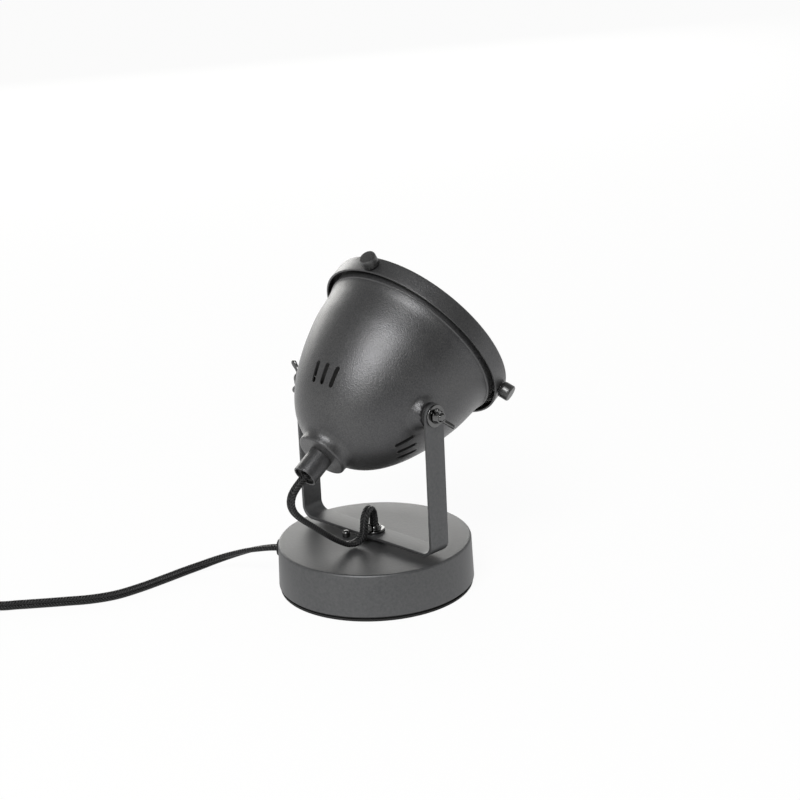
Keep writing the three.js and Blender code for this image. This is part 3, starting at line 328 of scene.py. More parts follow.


# Woven cotton: dull black, with a chevron weave that meets in a line on the middle of each wide
# face. The raised strands are painted grey as painted light, and the gaps between them are painted nearly
# black as painted shade.
woven_cotton = new_material("black_woven_cotton")
tree = woven_cotton.node_tree
lead_map = add_node(tree, "ShaderNodeUVMap", {"uv_map": "lead"})
place = add_node(tree, "ShaderNodeSeparateXYZ", None, {0: lead_map.outputs[0]})
folded = add_node(tree, "ShaderNodeMath", {"operation": "PINGPONG"}, {0: place.outputs["Y"], 1: 0.25})
climb = add_node(tree, "ShaderNodeMath", {"operation": "MULTIPLY"}, {
    0: folded.outputs[0], 1: BRAID_CLIMB * 4})
strand_count = add_node(tree, "ShaderNodeMath", {"operation": "MULTIPLY_ADD"}, {
    0: place.outputs["X"], 1: 1 / (BRAID_PITCH * MM), 2: climb.outputs[0]})
strand_turn = add_node(tree, "ShaderNodeMath", {"operation": "MULTIPLY"}, {
    0: strand_count.outputs[0], 1: 2 * math.pi})
strand_wave = add_node(tree, "ShaderNodeMath", {"operation": "SINE"}, {0: strand_turn.outputs[0]})
strand = add_node(tree, "ShaderNodeMapRange", None, {
    "Value": strand_wave.outputs[0], "From Min": -1, "From Max": 0.8})
thread_place = add_node(tree, "ShaderNodeTexCoord")
threads = add_node(tree, "ShaderNodeTexNoise", None, {
    "Vector": thread_place.outputs["Object"], "Scale": 0.5 / (THREAD_PITCH * MM), "Detail": 2})
height = add_node(tree, "ShaderNodeMath", {"operation": "MULTIPLY_ADD"}, {
    0: threads.outputs["Fac"], 1: 0.5, 2: strand.outputs[0]})
# The weave's colour is painted light on the raised strands and painted shade in the gaps between them.
cloth_colour = add_node(tree, "ShaderNodeMixRGB", None, {
    "Fac": strand.outputs[0], "Color1": linear(LEAD_GAP_SHADE), "Color2": linear(LEAD_STRAND_LIGHT)})
cloth_bump = add_node(tree, "ShaderNodeBump", None, {
    "Strength": 1.0, "Distance": BRAID_RELIEF * MM, "Height": height.outputs[0]})
cloth = add_node(tree, "ShaderNodeBsdfPrincipled", None, {
    "Base Color": cloth_colour.outputs[0], "Roughness": 0.45, "Specular IOR Level": 0.4,
    "Normal": cloth_bump.outputs[0]})
add_node(tree, "ShaderNodeOutputMaterial", None, {"Surface": cloth.outputs[0]})

mains_path = even_curve(metres(MAINS_ROUTE))
across_exit = Vector((-math.sin(EXIT_ANGLE), math.cos(EXIT_ANGLE), 0))
mains_wide_sides = ((0, across_exit), (EDGE_SHARE, (0, 0, 1)), (1, (0, 0, 1)))
mains_lead = lead_along("mains_lead_cloth", mains_path, mains_wide_sides, woven_cotton)
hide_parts("mains_lead")
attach(mains_lead, "base")


def coil_curve():
    """The turns run inwards and outwards in layers, and climb where they turn back."""
    in_layer = COIL_TURNS / COIL_LAYERS
    points = []
    for i in range(round(COIL_TURNS * COIL_STEPS) + 1):
        at = min(i / COIL_STEPS, COIL_TURNS)
        layer = min(int(at / in_layer), COIL_LAYERS - 1)
        travelled = (at - layer * in_layer) * COIL_TRAVEL
        inner = COIL_OUTER - in_layer * COIL_TRAVEL
        radius = inner + travelled if layer % 2 else COIL_OUTER - travelled
        height = COIL_BOTTOM
        for back in range(1, COIL_LAYERS):
            share = min(max((at - back * in_layer) / COIL_CLIMB / 2 + 0.5, 0), 1)
            height += share * share * (3 - 2 * share) * COIL_LAYER_HEIGHT
        angle = at * 2 * math.pi - math.pi / 2
        points.append(Vector((COIL_MIDDLE[0] + radius * math.cos(angle),
                              COIL_MIDDLE[1] + radius * math.sin(angle), height)) * MM)
    return points


link_points = even_curve(metres(LINK_ROUTE))
tail_points = even_curve(metres(TAIL_ROUTE))
spare_points = link_points[:-1] + coil_curve() + tail_points[1:]
spare_path = evenly([PARK @ point for point in spare_points], LEAD_STEP * MM)
tail_share = route_length(tail_points) / route_length(spare_points)
across_plug = PARK.to_3x3() @ Vector((-1, 0, 0))
spare_wide_sides = ((0, (0, 0, 1)), (1 - tail_share, (0, 0, 1)), (1 - tail_share * 0.1, across_plug),
                    (1, across_plug))
spare_lead = lead_along("spare_lead_cloth", spare_path, spare_wide_sides, woven_cotton)
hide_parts("link_lead", "lead_coil", "tail_lead")
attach(spare_lead, "base")

head_path = even_curve(metres(HEAD_ROUTE))
head_lead = lead_along("head_lead_cloth", head_path, ((0, (1, 0, 0)), (1, (1, 0, 0))), woven_cotton)
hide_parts("head_lead")
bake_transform(head_lead)

# Base: a pressed steel cover, powder coated in smooth satin dark grey, pulled down over a cast
# iron weight by three screws. The cover widens a little to the foot, where a black rubber pad
# stands under it behind a thin groove.
SIDES = 192
FILLET_STEPS = 6
CRISP = 0.1
EASED = 0.2
SOFT = 0.3
ROUND = 0.4
FULL = 0.5
BROAD_MOTTLE = 12.5
BASE_RADIUS = 60.0
BASE_FOOT = 60.8
BASE_BELT = 60.4
BELT_HEIGHT = 16
BASE_TOP = 30.0
BASE_EDGE = 1.6
TOP_RINGS = (40, 20)
COVER_FOOT = 3.2
COVER_WALL = 1.2
COVER_BEND = 0.8
COVER_LIP = 0.25
STEM_HOLE = 4.5
PAD_TOP = 1.5
PLATE_RADIUS = 59.2
PLATE_FLOOR = PAD_TOP + TOUCH_GAP
PLATE_TOP = 2.9
EXIT_HEIGHT = 20.5
INNER_ROUTE = ((0, 38.5), (0, 28), (0, 20), (0.4, 12.4), (2.8, 7.6), (7.6, 5.6), (20, 5.5), (29, 5.6),
               (37, 7.4), (43.6, 13), (49, 19), (54.4, EXIT_HEIGHT), (62.5, EXIT_HEIGHT))


def filleted(outline, closed):
    """The outline's points, with an arc wherever a point has a third value, its corner radius."""
    points = []
    for i, (across, up, *corner) in enumerate(outline):
        here = Vector((across, up))
        if not corner or (not closed and i in (0, len(outline) - 1)):
            points.append(here)
            continue
        back = Vector(outline[i - 1][:2]) - here
        on = Vector(outline[(i + 1) % len(outline)][:2]) - here
        half = back.angle(on) / 2
        reach = min(corner[0] / math.tan(half), back.length * 0.49, on.length * 0.49)
        size = reach * math.tan(half)
        centre = here + (back.normalized() + on.normalized()).normalized() * (size / math.sin(half))
        first = here + back.normalized() * reach - centre
        last = here + on.normalized() * reach - centre
        for k in range(FILLET_STEPS + 1):
            points.append(centre + first.lerp(last, k / FILLET_STEPS).normalized() * size)
    return points


def turned(name, outline, material, place=Matrix.Identity(4), sides=SIDES):
    """A lathe-turned piece. The outline's [radius, height] in mm run anticlockwise."""
    closed = outline[0][0] > 0
    mesh = bmesh.new()
    rings = []
    for radius, height in filleted(outline, closed):
        ring = []
        for i in range(sides if radius > 0 else 1):
            angle = i / sides * 2 * math.pi
            point = Vector((radius * math.cos(angle), radius * math.sin(angle), height))
            ring.append(mesh.verts.new(place @ (point * MM)))
        rings.append(ring)
    skin(mesh, rings, closed)
    return linked_piece(mesh, name, material)


def fitted(piece, body, slot, *nodes):
    """The piece moves with a body and stands for these CAD nodes. The slot is not used."""
    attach(piece, body)
    if nodes:
        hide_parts(*nodes)


def dress(material, *nodes):
    """Gives CAD nodes whose shape is kept their finish."""
    for name in nodes:
        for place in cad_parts[name].material_slots:
            place.material = material


def grained(name, dark, pale, roughness, grain, relief, metallic=0.0, coat=0.0, sheen=0.0):
    """A finish with an even grain. The colour runs from dark to pale over it, the roughness is a
    range, and the grain's size and relief are in mm."""
    material = new_material(name)
    tree = material.node_tree
    place = add_node(tree, "ShaderNodeTexCoord")
    fine = add_node(tree, "ShaderNodeTexNoise", None, {
        "Vector": place.outputs["Object"], "Scale": 0.5 / (grain * MM), "Detail": 2, "Roughness": 0.6})
    broad = add_node(tree, "ShaderNodeTexNoise", None, {
        "Vector": place.outputs["Object"], "Scale": 0.5 / (BROAD_MOTTLE * MM), "Detail": 3})
    mixed = add_node(tree, "ShaderNodeMath", {"operation": "MULTIPLY_ADD"}, {
        0: broad.outputs["Fac"], 1: 0.35, 2: fine.outputs["Fac"]})
    level = add_node(tree, "ShaderNodeMapRange", None, {
        "Value": mixed.outputs[0], "From Min": 0.45, "From Max": 0.95})
    colour = add_node(tree, "ShaderNodeMixRGB", None, {
        "Fac": level.outputs[0], "Color1": linear(dark), "Color2": linear(pale)})
    dullness = add_node(tree, "ShaderNodeMapRange", None, {
        "Value": level.outputs[0], "To Min": roughness[0], "To Max": roughness[1]})
    bump = add_node(tree, "ShaderNodeBump", None, {
        "Strength": 1.0, "Distance": relief * MM, "Height": fine.outputs["Fac"]})
    surface = add_node(tree, "ShaderNodeBsdfPrincipled", None, {
        "Base Color": colour.outputs[0], "Roughness": dullness.outputs[0], "Metallic": metallic,
        "Coat Weight": coat, "Coat Roughness": 0.15, "Sheen Weight": sheen, "Sheen Roughness": 0.35,
        "Normal": bump.outputs[0]})
    add_node(tree, "ShaderNodeOutputMaterial", None, {"Surface": surface.outputs[0]})
    return material


# Satin powder coat: an even dark grey with a soft sheen and the faintest orange peel.
satin_coat = grained("satin_dark_grey_powder_coat", "565758", "636364", (0.44, 0.52), 0.9, 0.06, 0.75)
# Moulded rubber: dull black, a little dusty.
black_rubber = grained("moulded_black_rubber", "101010", "1c1c1c", (0.7, 0.85), 0.7, 0.02)
# Raw cast iron: rough, dark and slightly metallic.
cast_iron = grained("raw_cast_iron", "3a3937", "565350", (0.6, 0.8), 1.2, 0.12, 0.7)
# Zinc plated steel: a bright grey with a fine mottle.
zinc_steel = grained("zinc_plated_steel", "8c8f92", "b4b7ba", (0.28, 0.42), 0.8, 0.01, 1.0)
# Moulded ABS: black with a fine spark-eroded grain that dulls it evenly.
black_abs = grained("moulded_black_abs", "0e0e0f", "161617", (0.42, 0.52), 0.5, 0.012)

foot_pad = turned("foot_pad_rubber", [
    (0, 0), (BASE_RADIUS, 0, FULL), (BASE_RADIUS, PAD_TOP, SOFT), (0, PAD_TOP)], black_rubber)
fitted(foot_pad, "base", "black_rubber", "foot_pad")
bottom_plate = turned("bottom_plate_disc", [
    (0, PLATE_FLOOR), (PLATE_RADIUS, PLATE_FLOOR, SOFT), (PLATE_RADIUS, PLATE_TOP, SOFT),
    (0, PLATE_TOP)], black_abs)
fitted(bottom_plate, "base", "black_plastic", "bottom_plate")
base_cover = turned("base_cover_pressing", [
    (BASE_FOOT, COVER_FOOT, COVER_LIP), (BASE_BELT, BELT_HEIGHT), (BASE_RADIUS, BASE_TOP, BASE_EDGE),
    *[(radius, BASE_TOP) for radius in TOP_RINGS], (STEM_HOLE, BASE_TOP, CRISP),
    (STEM_HOLE, BASE_TOP - COVER_WALL, CRISP),
    (BASE_RADIUS - COVER_WALL, BASE_TOP - COVER_WALL, COVER_BEND),
    (BASE_FOOT - COVER_WALL, COVER_FOOT, COVER_LIP)], satin_coat)
fitted(base_cover, "base", "satin_coat", "base_cover")
dress(cast_iron, "base_weight")
dress(zinc_steel, "plate_screw_1", "plate_screw_2", "plate_screw_3")
base_path = even_curve([Vector((out * math.cos(EXIT_ANGLE), out * math.sin(EXIT_ANGLE), up)) * MM
                        for out, up in INNER_ROUTE])
base_lead = lead_along("base_lead_cloth", base_path, ((0, (1, 0, 0)), (0.25, -across_exit),
                                                      (1, -across_exit)), woven_cotton)
fitted(base_lead, "base", "fabric", "base_lead")

# Hollow stem: a threaded lamp tube that the yoke turns on, with a black spacer under the yoke and
# a low flanged nut over it. A washer and a nut hold it under the cover, and the lead passes
# through it. Black nickelled steel.
STEM_RADIUS = 4.2
STEM_BORE = 3.4
STEM_FOOT = 12.4
STEM_TOP = 38.5
STEM_TIP = 3.8
THREAD_DEPTH = 0.25
THREAD_RISE = 1.0
THREAD_TURNS = 26
SPACER_RADIUS = 7
STRIP_FLOOR = 32.4
STRIP_THICKNESS = 2.0
FLANGE_RADIUS = 6.7
FLANGE_SEAT = STRIP_FLOOR + STRIP_THICKNESS + TOUCH_GAP
FLANGE_HEIGHT = 1.5
# Black nickel plate: a nearly black mirror that is softened a little by wear.
black_nickel = grained("glossy_black_nickel", "626262", "6e6e6e", (0.07, 0.12), 1.5, 0.004, 1.0)

stem_outline = [(STEM_BORE, STEM_FOOT), (STEM_RADIUS - THREAD_DEPTH, STEM_FOOT)]
for i in range(THREAD_TURNS):
    root = STEM_FOOT + 0.1 + i * THREAD_RISE
    stem_outline += [(STEM_RADIUS - THREAD_DEPTH, root), (STEM_RADIUS, root + THREAD_RISE / 2)]
stem_outline += [(STEM_TIP, STEM_TOP, EASED), (STEM_BORE, STEM_TOP, EASED)]
stem = turned("threaded_stem", stem_outline, black_nickel, sides=48)
fitted(stem, "base", "black_gloss", "stem")
spacer = turned("stem_spacer_ring", [
    (STEM_HOLE, BASE_TOP + TOUCH_GAP), (SPACER_RADIUS, BASE_TOP + TOUCH_GAP, SOFT),
    (SPACER_RADIUS, STRIP_FLOOR - TOUCH_GAP, SOFT), (STEM_HOLE, STRIP_FLOOR - TOUCH_GAP)], black_abs,
    sides=96)
fitted(spacer, "base", "black_plastic", "stem_spacer")
flange_nut = turned("stem_flange_nut", [
    (STEM_HOLE, FLANGE_SEAT), (FLANGE_RADIUS, FLANGE_SEAT, 0.15),
    (FLANGE_RADIUS, FLANGE_SEAT + FLANGE_HEIGHT, FULL), (STEM_HOLE, FLANGE_SEAT + FLANGE_HEIGHT, EASED)],
    black_nickel, sides=96)
fitted(flange_nut, "base", "black_gloss", "flange_nut")
dress(zinc_steel, "stem_washer", "stem_nut")

# Stop screw: a round-headed black screw in the base beside the yoke, which the strip meets at
# either end of its swing.
STOP_PLACE = Matrix.Translation((0.0146, 0.0103, 0))
STOP_SHANK = 1.5
STOP_FOOT = 25.3
STOP_HEAD = 2.4
STOP_SEAT = BASE_TOP + TOUCH_GAP
STOP_SHOULDER = 32.8
STOP_DOME = 1.6
DOME_STEPS = 8
stop_outline = [(0, STOP_FOOT), (STOP_SHANK, STOP_FOOT, EASED), (STOP_SHANK, STOP_SEAT),
                (STOP_HEAD, STOP_SEAT, CRISP), (STOP_HEAD, STOP_SHOULDER)]
for i in range(1, DOME_STEPS):
    angle = i * math.pi / 2 / DOME_STEPS
    stop_outline.append((STOP_HEAD * math.cos(angle), STOP_SHOULDER + STOP_DOME * math.sin(angle)))
stop_outline.append((0, STOP_SHOULDER + STOP_DOME))
stop_screw = turned("stop_screw_round_head", stop_outline, black_nickel, STOP_PLACE, 48)
fitted(stop_screw, "base", "black_gloss", "stop_screw")

# Exit grommet: a soft black rubber ring snapped into the cover's side wall, round the lead. Only
# its flat outer flange shows.
EXIT_PLACE = (Matrix.Translation((0, 0, EXIT_HEIGHT * MM)) @ Matrix.Rotation(EXIT_ANGLE, 4, "Z")
              @ Matrix.Rotation(math.pi / 2, 4, "Y"))
GROMMET_BORE = 3.3
GROMMET_RADIUS = 5.2
GROMMET_GROOVE = 4.3
GROMMET_INSIDE = 54.7
GROOVE_INSIDE = 57.0
GROOVE_OUTSIDE = 60.3
FLANGE_OUTSIDE = 62.58
exit_grommet = turned("exit_grommet_ring", [
    (GROMMET_BORE, GROMMET_INSIDE, EASED), (GROMMET_RADIUS, GROMMET_INSIDE + 0.6, SOFT),
    (GROMMET_RADIUS, GROOVE_INSIDE - 0.3), (GROMMET_GROOVE, GROOVE_INSIDE),
    (GROMMET_GROOVE, GROOVE_OUTSIDE), (GROMMET_RADIUS, GROOVE_OUTSIDE + 0.28),
    (GROMMET_RADIUS, FLANGE_OUTSIDE, 0.7), (GROMMET_BORE, FLANGE_OUTSIDE, SOFT)], black_rubber,
    EXIT_PLACE, 64)
fitted(exit_grommet, "base", "black_rubber", "exit_grommet")

# Yoke: a 15 by 2 mm flat steel bar, bent up twice and cut round at its arm ends, coated like the
# base. The edges are tumbled, so they are just off sharp.
STRIP_WIDTH = 15.0
ARM_OUTSIDE = 56.3
BEND = 7.0
PIVOT_HEIGHT = 122.3
ARM_TIP = PIVOT_HEIGHT + STRIP_WIDTH / 2
STRIP_EDGE = 0.3
TIP_FLAT = 0.02
TIP_STEPS = 14
ARM_STEPS = 9
BEND_STEPS = 12
FLOOR_STEPS = 8
BOLT_HOLE = 2.8
DRILL_REACH = 70
STEM_DRILL_TOP = 36


def settled(piece):
    """Puts the result of the piece's modifiers into its mesh."""
    bpy.context.view_layer.update()
    shown = piece.evaluated_get(bpy.context.evaluated_depsgraph_get())
    before = piece.data
    piece.data = bpy.data.meshes.new_from_object(shown)
    piece.modifiers.clear()
    bpy.data.meshes.remove(before)


def cut(piece, cutter, crease=CREASE):
    """Cuts one piece's shape out of another."""
    hole = piece.modifiers.new("cut", "BOOLEAN")
    hole.operation = "DIFFERENCE"
    hole.solver = "EXACT"
    hole.object = cutter
    settled(piece)
    bpy.data.objects.remove(cutter)
    piece.data.shade_smooth()
    piece.data.set_sharp_from_angle(angle=crease)


def drilled(piece, radius, low, high, place, sides, crease=CREASE):
    """Drills a round hole along the place's axis, between two heights in mm."""
    drill = turned("drill", [(0, low), (radius, low), (radius, high), (0, high)], satin_coat, place, sides)
    cut(piece, drill, crease)


def oblong(left, right, half, corner):
    """A rectangle with round corners, about the line from left to right."""
    return filleted([(left, -half, corner), (right, -half, corner), (right, half, corner),
                     (left, half, corner)], True)


def bent_line():
    """The strip's middle line in mm, from one arm's tip to the other's, with its outward side."""
    centre = ARM_OUTSIDE - STRIP_THICKNESS / 2
    floor = STRIP_FLOOR + STRIP_THICKNESS / 2
    line = []
    for i in range(TIP_STEPS + 1):
        fall = (1 - math.cos(i / TIP_STEPS * math.pi / 2)) * STRIP_WIDTH / 2
        line.append((Vector((-centre, 0, ARM_TIP - fall)), Vector((-1, 0, 0))))
    for i in range(1, ARM_STEPS):
        height = PIVOT_HEIGHT + (floor + BEND - PIVOT_HEIGHT) * i / ARM_STEPS
        line.append((Vector((-centre, 0, height)), Vector((-1, 0, 0))))
    for i in range(BEND_STEPS + 1):
        angle = math.pi + i / BEND_STEPS * math.pi / 2
        side = Vector((math.cos(angle), 0, math.sin(angle)))
        line.append((Vector((BEND - centre, 0, floor + BEND)) + side * BEND, side))
    for i in range(1, FLOOR_STEPS + 1):
        across = (BEND - centre) * (1 - i / FLOOR_STEPS)
        line.append((Vector((across, 0, floor)), Vector((0, 0, -1))))
    other = [(Vector((-p.x, p.y, p.z)), Vector((-n.x, n.y, n.z))) for p, n in reversed(line[:-1])]
    return line + other


def yoke_strip():
    mesh = bmesh.new()
    rings = []
    for middle, side in bent_line():
        below = ARM_TIP - middle.z
        half = STRIP_WIDTH / 2
        if below < half:
            half = math.sqrt(max(half ** 2 - (half - below) ** 2, TIP_FLAT ** 2))
        section = oblong(-half, half, STRIP_THICKNESS / 2, min(STRIP_EDGE, half / 2))
        rings.append([mesh.verts.new((middle + Vector((0, y, 0)) + side * z) * MM) for y, z in section])
    skin(mesh, rings, capped=True)
    return linked_piece(mesh, "yoke_strip", satin_coat)


yoke = yoke_strip()
AT_PIVOTS = Matrix.Translation((0, 0, PIVOT_HEIGHT * MM))
drilled(yoke, BOLT_HOLE, -DRILL_REACH, DRILL_REACH, AT_PIVOTS @ Matrix.Rotation(math.pi / 2, 4, "Y"), 32)
drilled(yoke, STEM_HOLE, BASE_TOP, STEM_DRILL_TOP, Matrix.Identity(4), 48)
fitted(yoke, "yoke", "satin_coat", "yoke")

# Pivots: on each side a round-headed bolt comes out through the shade's flat boss, a black nylon
# washer, the arm and a steel washer, and a cast wing nut clamps them. The far one's ears point
# up and down, and the near one's lean over.
PIVOTS = (("near", -1, 42), ("far", 1, -2))
EAR_SECTIONS = ((1.6, 2.2, 1.9, 1.6), (4.0, 2.7, 1.9, 1.45), (5.6, 4.1, 2.1, 1.3), (7.2, 5.6, 2.5, 1.3),
                (8.6, 6.4, 2.5, 1.35), (9.8, 6.7, 2.0, 1.2), (10.6, 6.7, 1.1, 0.8))
EAR_SIDES = 16
BOLT_RADIUS = 2.5
BOLT_HEAD = 5
BOLT_DOME = 1.4
BOLT_BACK = 48
BOLT_SEAT = 50.6
BOLT_NECK = 2.35
THREAD_ROOT = 2.3
THREAD_START = 50.8
HALF_THREAD = 0.35
THREAD_POINTS = 33
BOLT_TIP = 1.9
BOLT_END = 62.8
NYLON_RADIUS = 7.4
NYLON_INSIDE = 52.2
NYLON_OUTSIDE = ARM_OUTSIDE - STRIP_THICKNESS - TOUCH_GAP
WASHER_RADIUS = 7.0
WASHER_INSIDE = ARM_OUTSIDE + TOUCH_GAP
WASHER_OUTSIDE = 57.6
NUT_SEAT = WASHER_OUTSIDE + TOUCH_GAP
NUT_WAIST = 60.3
NUT_TOP = 61.8
NUT_RADII = (4.4, 3.9, 3.5)
NUT_DRILL_FOOT = 50
CASTING_VOXEL = 0.24
CASTING_CREASE = math.radians(50)
# Black nylon: slightly waxy.
black_nylon = grained("turned_black_nylon", "141415", "1c1c1d", (0.35, 0.45), 0.6, 0.01)


def wing_nut(name, place):
    """A hub and two thickening ears that rise outwards, melted together as in one casting."""
    foot, waist, top = NUT_RADII
    hub = turned(name, [(0, NUT_SEAT), (foot, NUT_SEAT, ROUND), (waist, NUT_WAIST), (top, NUT_TOP, FULL),
                        (0, NUT_TOP)], black_nickel, place, 48)
    ears = bmesh.new()
    for end in (1, -1):
        rings = []
        for out, middle, tall, thick in EAR_SECTIONS:
            ring = []
            for i in range(EAR_SIDES):
                angle = i / EAR_SIDES * 2 * math.pi
                point = Vector((end * out, thick * math.cos(angle), middle + tall * math.sin(angle)))
                ring.append(ears.verts.new(place @ ((point + Vector((0, 0, NUT_SEAT))) * MM)))
            rings.append(ring)
        skin(ears, rings, capped=True)
    bmesh.ops.recalc_face_normals(ears, faces=ears.faces)
    ears.from_mesh(hub.data)
    ears.to_mesh(hub.data)
    ears.free()
    melt = hub.modifiers.new("melt", "REMESH")
    melt.mode = "VOXEL"
    melt.voxel_size = CASTING_VOXEL * MM
    ease = hub.modifiers.new("ease", "SMOOTH")
    ease.factor = 0.5
    ease.iterations = 4
    settled(hub)
    drilled(hub, BOLT_HOLE, NUT_DRILL_FOOT, DRILL_REACH, place, 32, CASTING_CREASE)
    return hub


for side, direction, lean in PIVOTS:
    across = AT_PIVOTS @ Matrix.Rotation(direction * math.pi / 2, 4, "Y")
    bolt_outline = [(0, BOLT_BACK), (BOLT_HEAD - BOLT_DOME, BOLT_BACK, 1.0),
                    (BOLT_HEAD, BOLT_BACK + BOLT_DOME, ROUND), (BOLT_HEAD, BOLT_SEAT, CRISP),
                    (BOLT_NECK, BOLT_SEAT)]
    bolt_outline += [(BOLT_RADIUS if i % 2 else THREAD_ROOT, THREAD_START + i * HALF_THREAD)
                     for i in range(THREAD_POINTS)]
    bolt_outline += [(BOLT_TIP, BOLT_END, EASED), (0, BOLT_END)]
    bolt = turned(f"pivot_bolt_{side}_threaded", bolt_outline, black_nickel, across, 40)
    fitted(bolt, "head", "black_gloss", f"pivot_bolt_{side}")
    inner_washer = turned(f"pivot_washer_{side}_nylon", [
        (BOLT_HOLE, NYLON_INSIDE, EASED), (NYLON_RADIUS, NYLON_INSIDE, SOFT),
        (NYLON_RADIUS, NYLON_OUTSIDE, SOFT), (BOLT_HOLE, NYLON_OUTSIDE, EASED)], black_nylon, across, 64)
    fitted(inner_washer, "head", "nylon", f"pivot_washer_{side}")
    outer_washer = turned(f"nut_washer_{side}_steel", [
        (BOLT_HOLE, WASHER_INSIDE, CRISP), (WASHER_RADIUS, WASHER_INSIDE, CRISP),
        (WASHER_RADIUS, WASHER_OUTSIDE, 0.35), (BOLT_HOLE, WASHER_OUTSIDE, EASED)], black_nickel,
        across, 64)
    fitted(outer_washer, "yoke", "black_gloss", f"nut_washer_{side}")
    leaned = across @ Matrix.Rotation(-direction * math.radians(lean), 4, "Z")
    nut = wing_nut(f"wing_nut_{side}_cast", leaned)
    fitted(nut, f"wing_nut_{side}", "black_gloss", f"wing_nut_{side}")

# Shade: a bowl spun from 1 mm sheet steel, with a stepped rim, a flat pressed boss at each pivot,
# three groups of cooling slots and a drawn neck. A coarse sandy powder coat covers the outside,
# and the inside is matt black.
HEAD = AT_PIVOTS @ Matrix.Rotation(math.radians(90 - 32.2), 4, "X")
BOWL_FRONT = 45.2
BOWL_DEPTH = 89.24
BOWL_RADIUS = 58.12
DEPTH_POWER = 1.486
RADIUS_POWER = 2.626
RIM_RADIUS = 58.72
RIM_FRONT = 55.2
RIM_STEP_BACK = BOWL_FRONT - 1.4
RIM_STEP = 0.6
NECK_RADIUS = 16.2
NECK_END = -49.0
NECK_EDGE = 2.4
NECK_BLEND = 4.4
NECK_STEPS = 10
SHADE_WALL = 1.0
SHADE_SIDES = 288
BOWL_STEPS = 64
BEAD = 0.7
BEAD_START = 20
BEAD_RISE = 17
BEAD_FLARE = 38.4
BEAD_FALL = 4.8
BOSS_REACH = 51.9
BOSS_RADIUS = 8.4
BOSS_FILLET = 5.0
SLOT_LENGTH = 12.0
SLOT_WIDTH = 2.9
SLOT_SIDES = 24
SLOT_CUT = (22, 62)
SLOT_MIDDLE = -17.3
SLOT_SPACING = 10.4
SLOT_GROUPS = (93.4, 203, 328)
SLOT_CREASE = math.radians(30)
# Sandy powder coat: dark grey, with hard grains about 0.2 mm across that sparkle in the light, and
# a dusty bloom at its edges. The grains are drawn 0.4 mm across, so that they show.
sandy_coat = grained("sandy_dark_grey_powder_coat", "48484a", "5e5e5e", (0.32, 0.44), 0.4, 0.19, 0.75,
                     sheen=0.12)
# Black lacquer: the bowl is dark inside, so its slots show nearly black. On the front ring's
# inner face the same black is painted shade.
black_lacquer_and_painted_shade = grained("matt_black_lacquer_and_painted_shade", "0d0d0c", "131312", (0.55, 0.7), 1.0, 0.02)


def bowl_radius_at(place):
    """The bowl's outer radius. A shallow swage runs round it behind the rim."""
    radius = BOWL_RADIUS * (1 - ((BOWL_FRONT - place) / BOWL_DEPTH) ** DEPTH_POWER) ** (1 / RADIUS_POWER)
    waist = min(max((place - BEAD_START) / BEAD_RISE, 0), 1)
    flare = min(max((place - BEAD_FLARE) / BEAD_FALL, 0), 1)
    ease = waist * waist * (3 - 2 * waist) * (1 - flare * flare * (3 - 2 * flare))
    return radius - BEAD * ease


def bowl_place_at(radius):
    """Where the bowl is as wide as a given radius."""
    return BOWL_FRONT - BOWL_DEPTH * (1 - (radius / BOWL_RADIUS) ** RADIUS_POWER) ** (1 / DEPTH_POWER)


def shade_outside():
    corner = Vector((NECK_RADIUS, bowl_place_at(NECK_RADIUS)))
    low = corner - Vector((0, NECK_BLEND))
    start = bowl_place_at(NECK_RADIUS + NECK_BLEND)
    outline = [(STEM_HOLE, NECK_END), (NECK_RADIUS, NECK_END, NECK_EDGE)]
    for i in range(NECK_STEPS):
        share = i / NECK_STEPS
        outline.append(low.lerp(corner, share).lerp(
            corner.lerp(Vector((NECK_RADIUS + NECK_BLEND, start)), share), share))
    outline.append((NECK_RADIUS + NECK_BLEND, start))
    for i in range(1, BOWL_STEPS + 1):
        place = start + (RIM_STEP_BACK - start) * (1 - math.cos(i / BOWL_STEPS * math.pi / 2)) ** 0.9
        outline.append((bowl_radius_at(place), place))
    rim_back = RIM_STEP_BACK + RIM_STEP
    outline.append((RIM_RADIUS, rim_back, 0.35))
    outline += [(RIM_RADIUS, rim_back + (RIM_FRONT - rim_back) * i / 5) for i in range(1, 5)]
    return filleted(outline + [(RIM_RADIUS, RIM_FRONT)], False)


def inside_of(outline):
    """The outline one wall further in, square to it."""
    inner = []
    for i, here in enumerate(outline):
        before = outline[max(i - 1, 0)]
        after = outline[min(i + 1, len(outline) - 1)]
        along = (after - before).normalized()
        inner.append(Vector((max(here.x - along.y * SHADE_WALL, STEM_HOLE), here.y + along.x * SHADE_WALL)))
    return inner


def pressed(point, reach):
    """A point of the bowl after the flat bosses are pressed out at the pivots, towards the arms."""
    from_axis = math.hypot(point.y, point.z)
    share = min(max((from_axis - BOSS_RADIUS) / BOSS_FILLET, 0), 1)
    ease = (1 - share) ** 3
    if ease and abs(point.x) < reach:
        point.x += (math.copysign(reach, point.x) - point.x) * ease
    return point


def shade_shell():
    outer = shade_outside()
    mesh = bmesh.new()
    rings = []
    for wall, outline in ((BOSS_REACH, outer), (BOSS_REACH - SHADE_WALL, inside_of(outer)[::-1])):
        for radius, place in outline:
            ring = []
            for i in range(SHADE_SIDES):
                angle = i / SHADE_SIDES * 2 * math.pi
                point = Vector((radius * math.cos(angle), radius * math.sin(angle), place))
                if abs(point.x) > BOSS_REACH / 2:
                    point = pressed(point, wall)
                ring.append(mesh.verts.new(HEAD @ (point * MM)))
            rings.append(ring)
    for number, face in enumerate(skin(mesh, rings, closed=True)):
        face.material_index = int(number >= len(outer) * SHADE_SIDES)
    shell = linked_piece(mesh, "shade_bowl", sandy_coat)
    shell.data.materials.append(black_lacquer_and_painted_shade)
    return shell


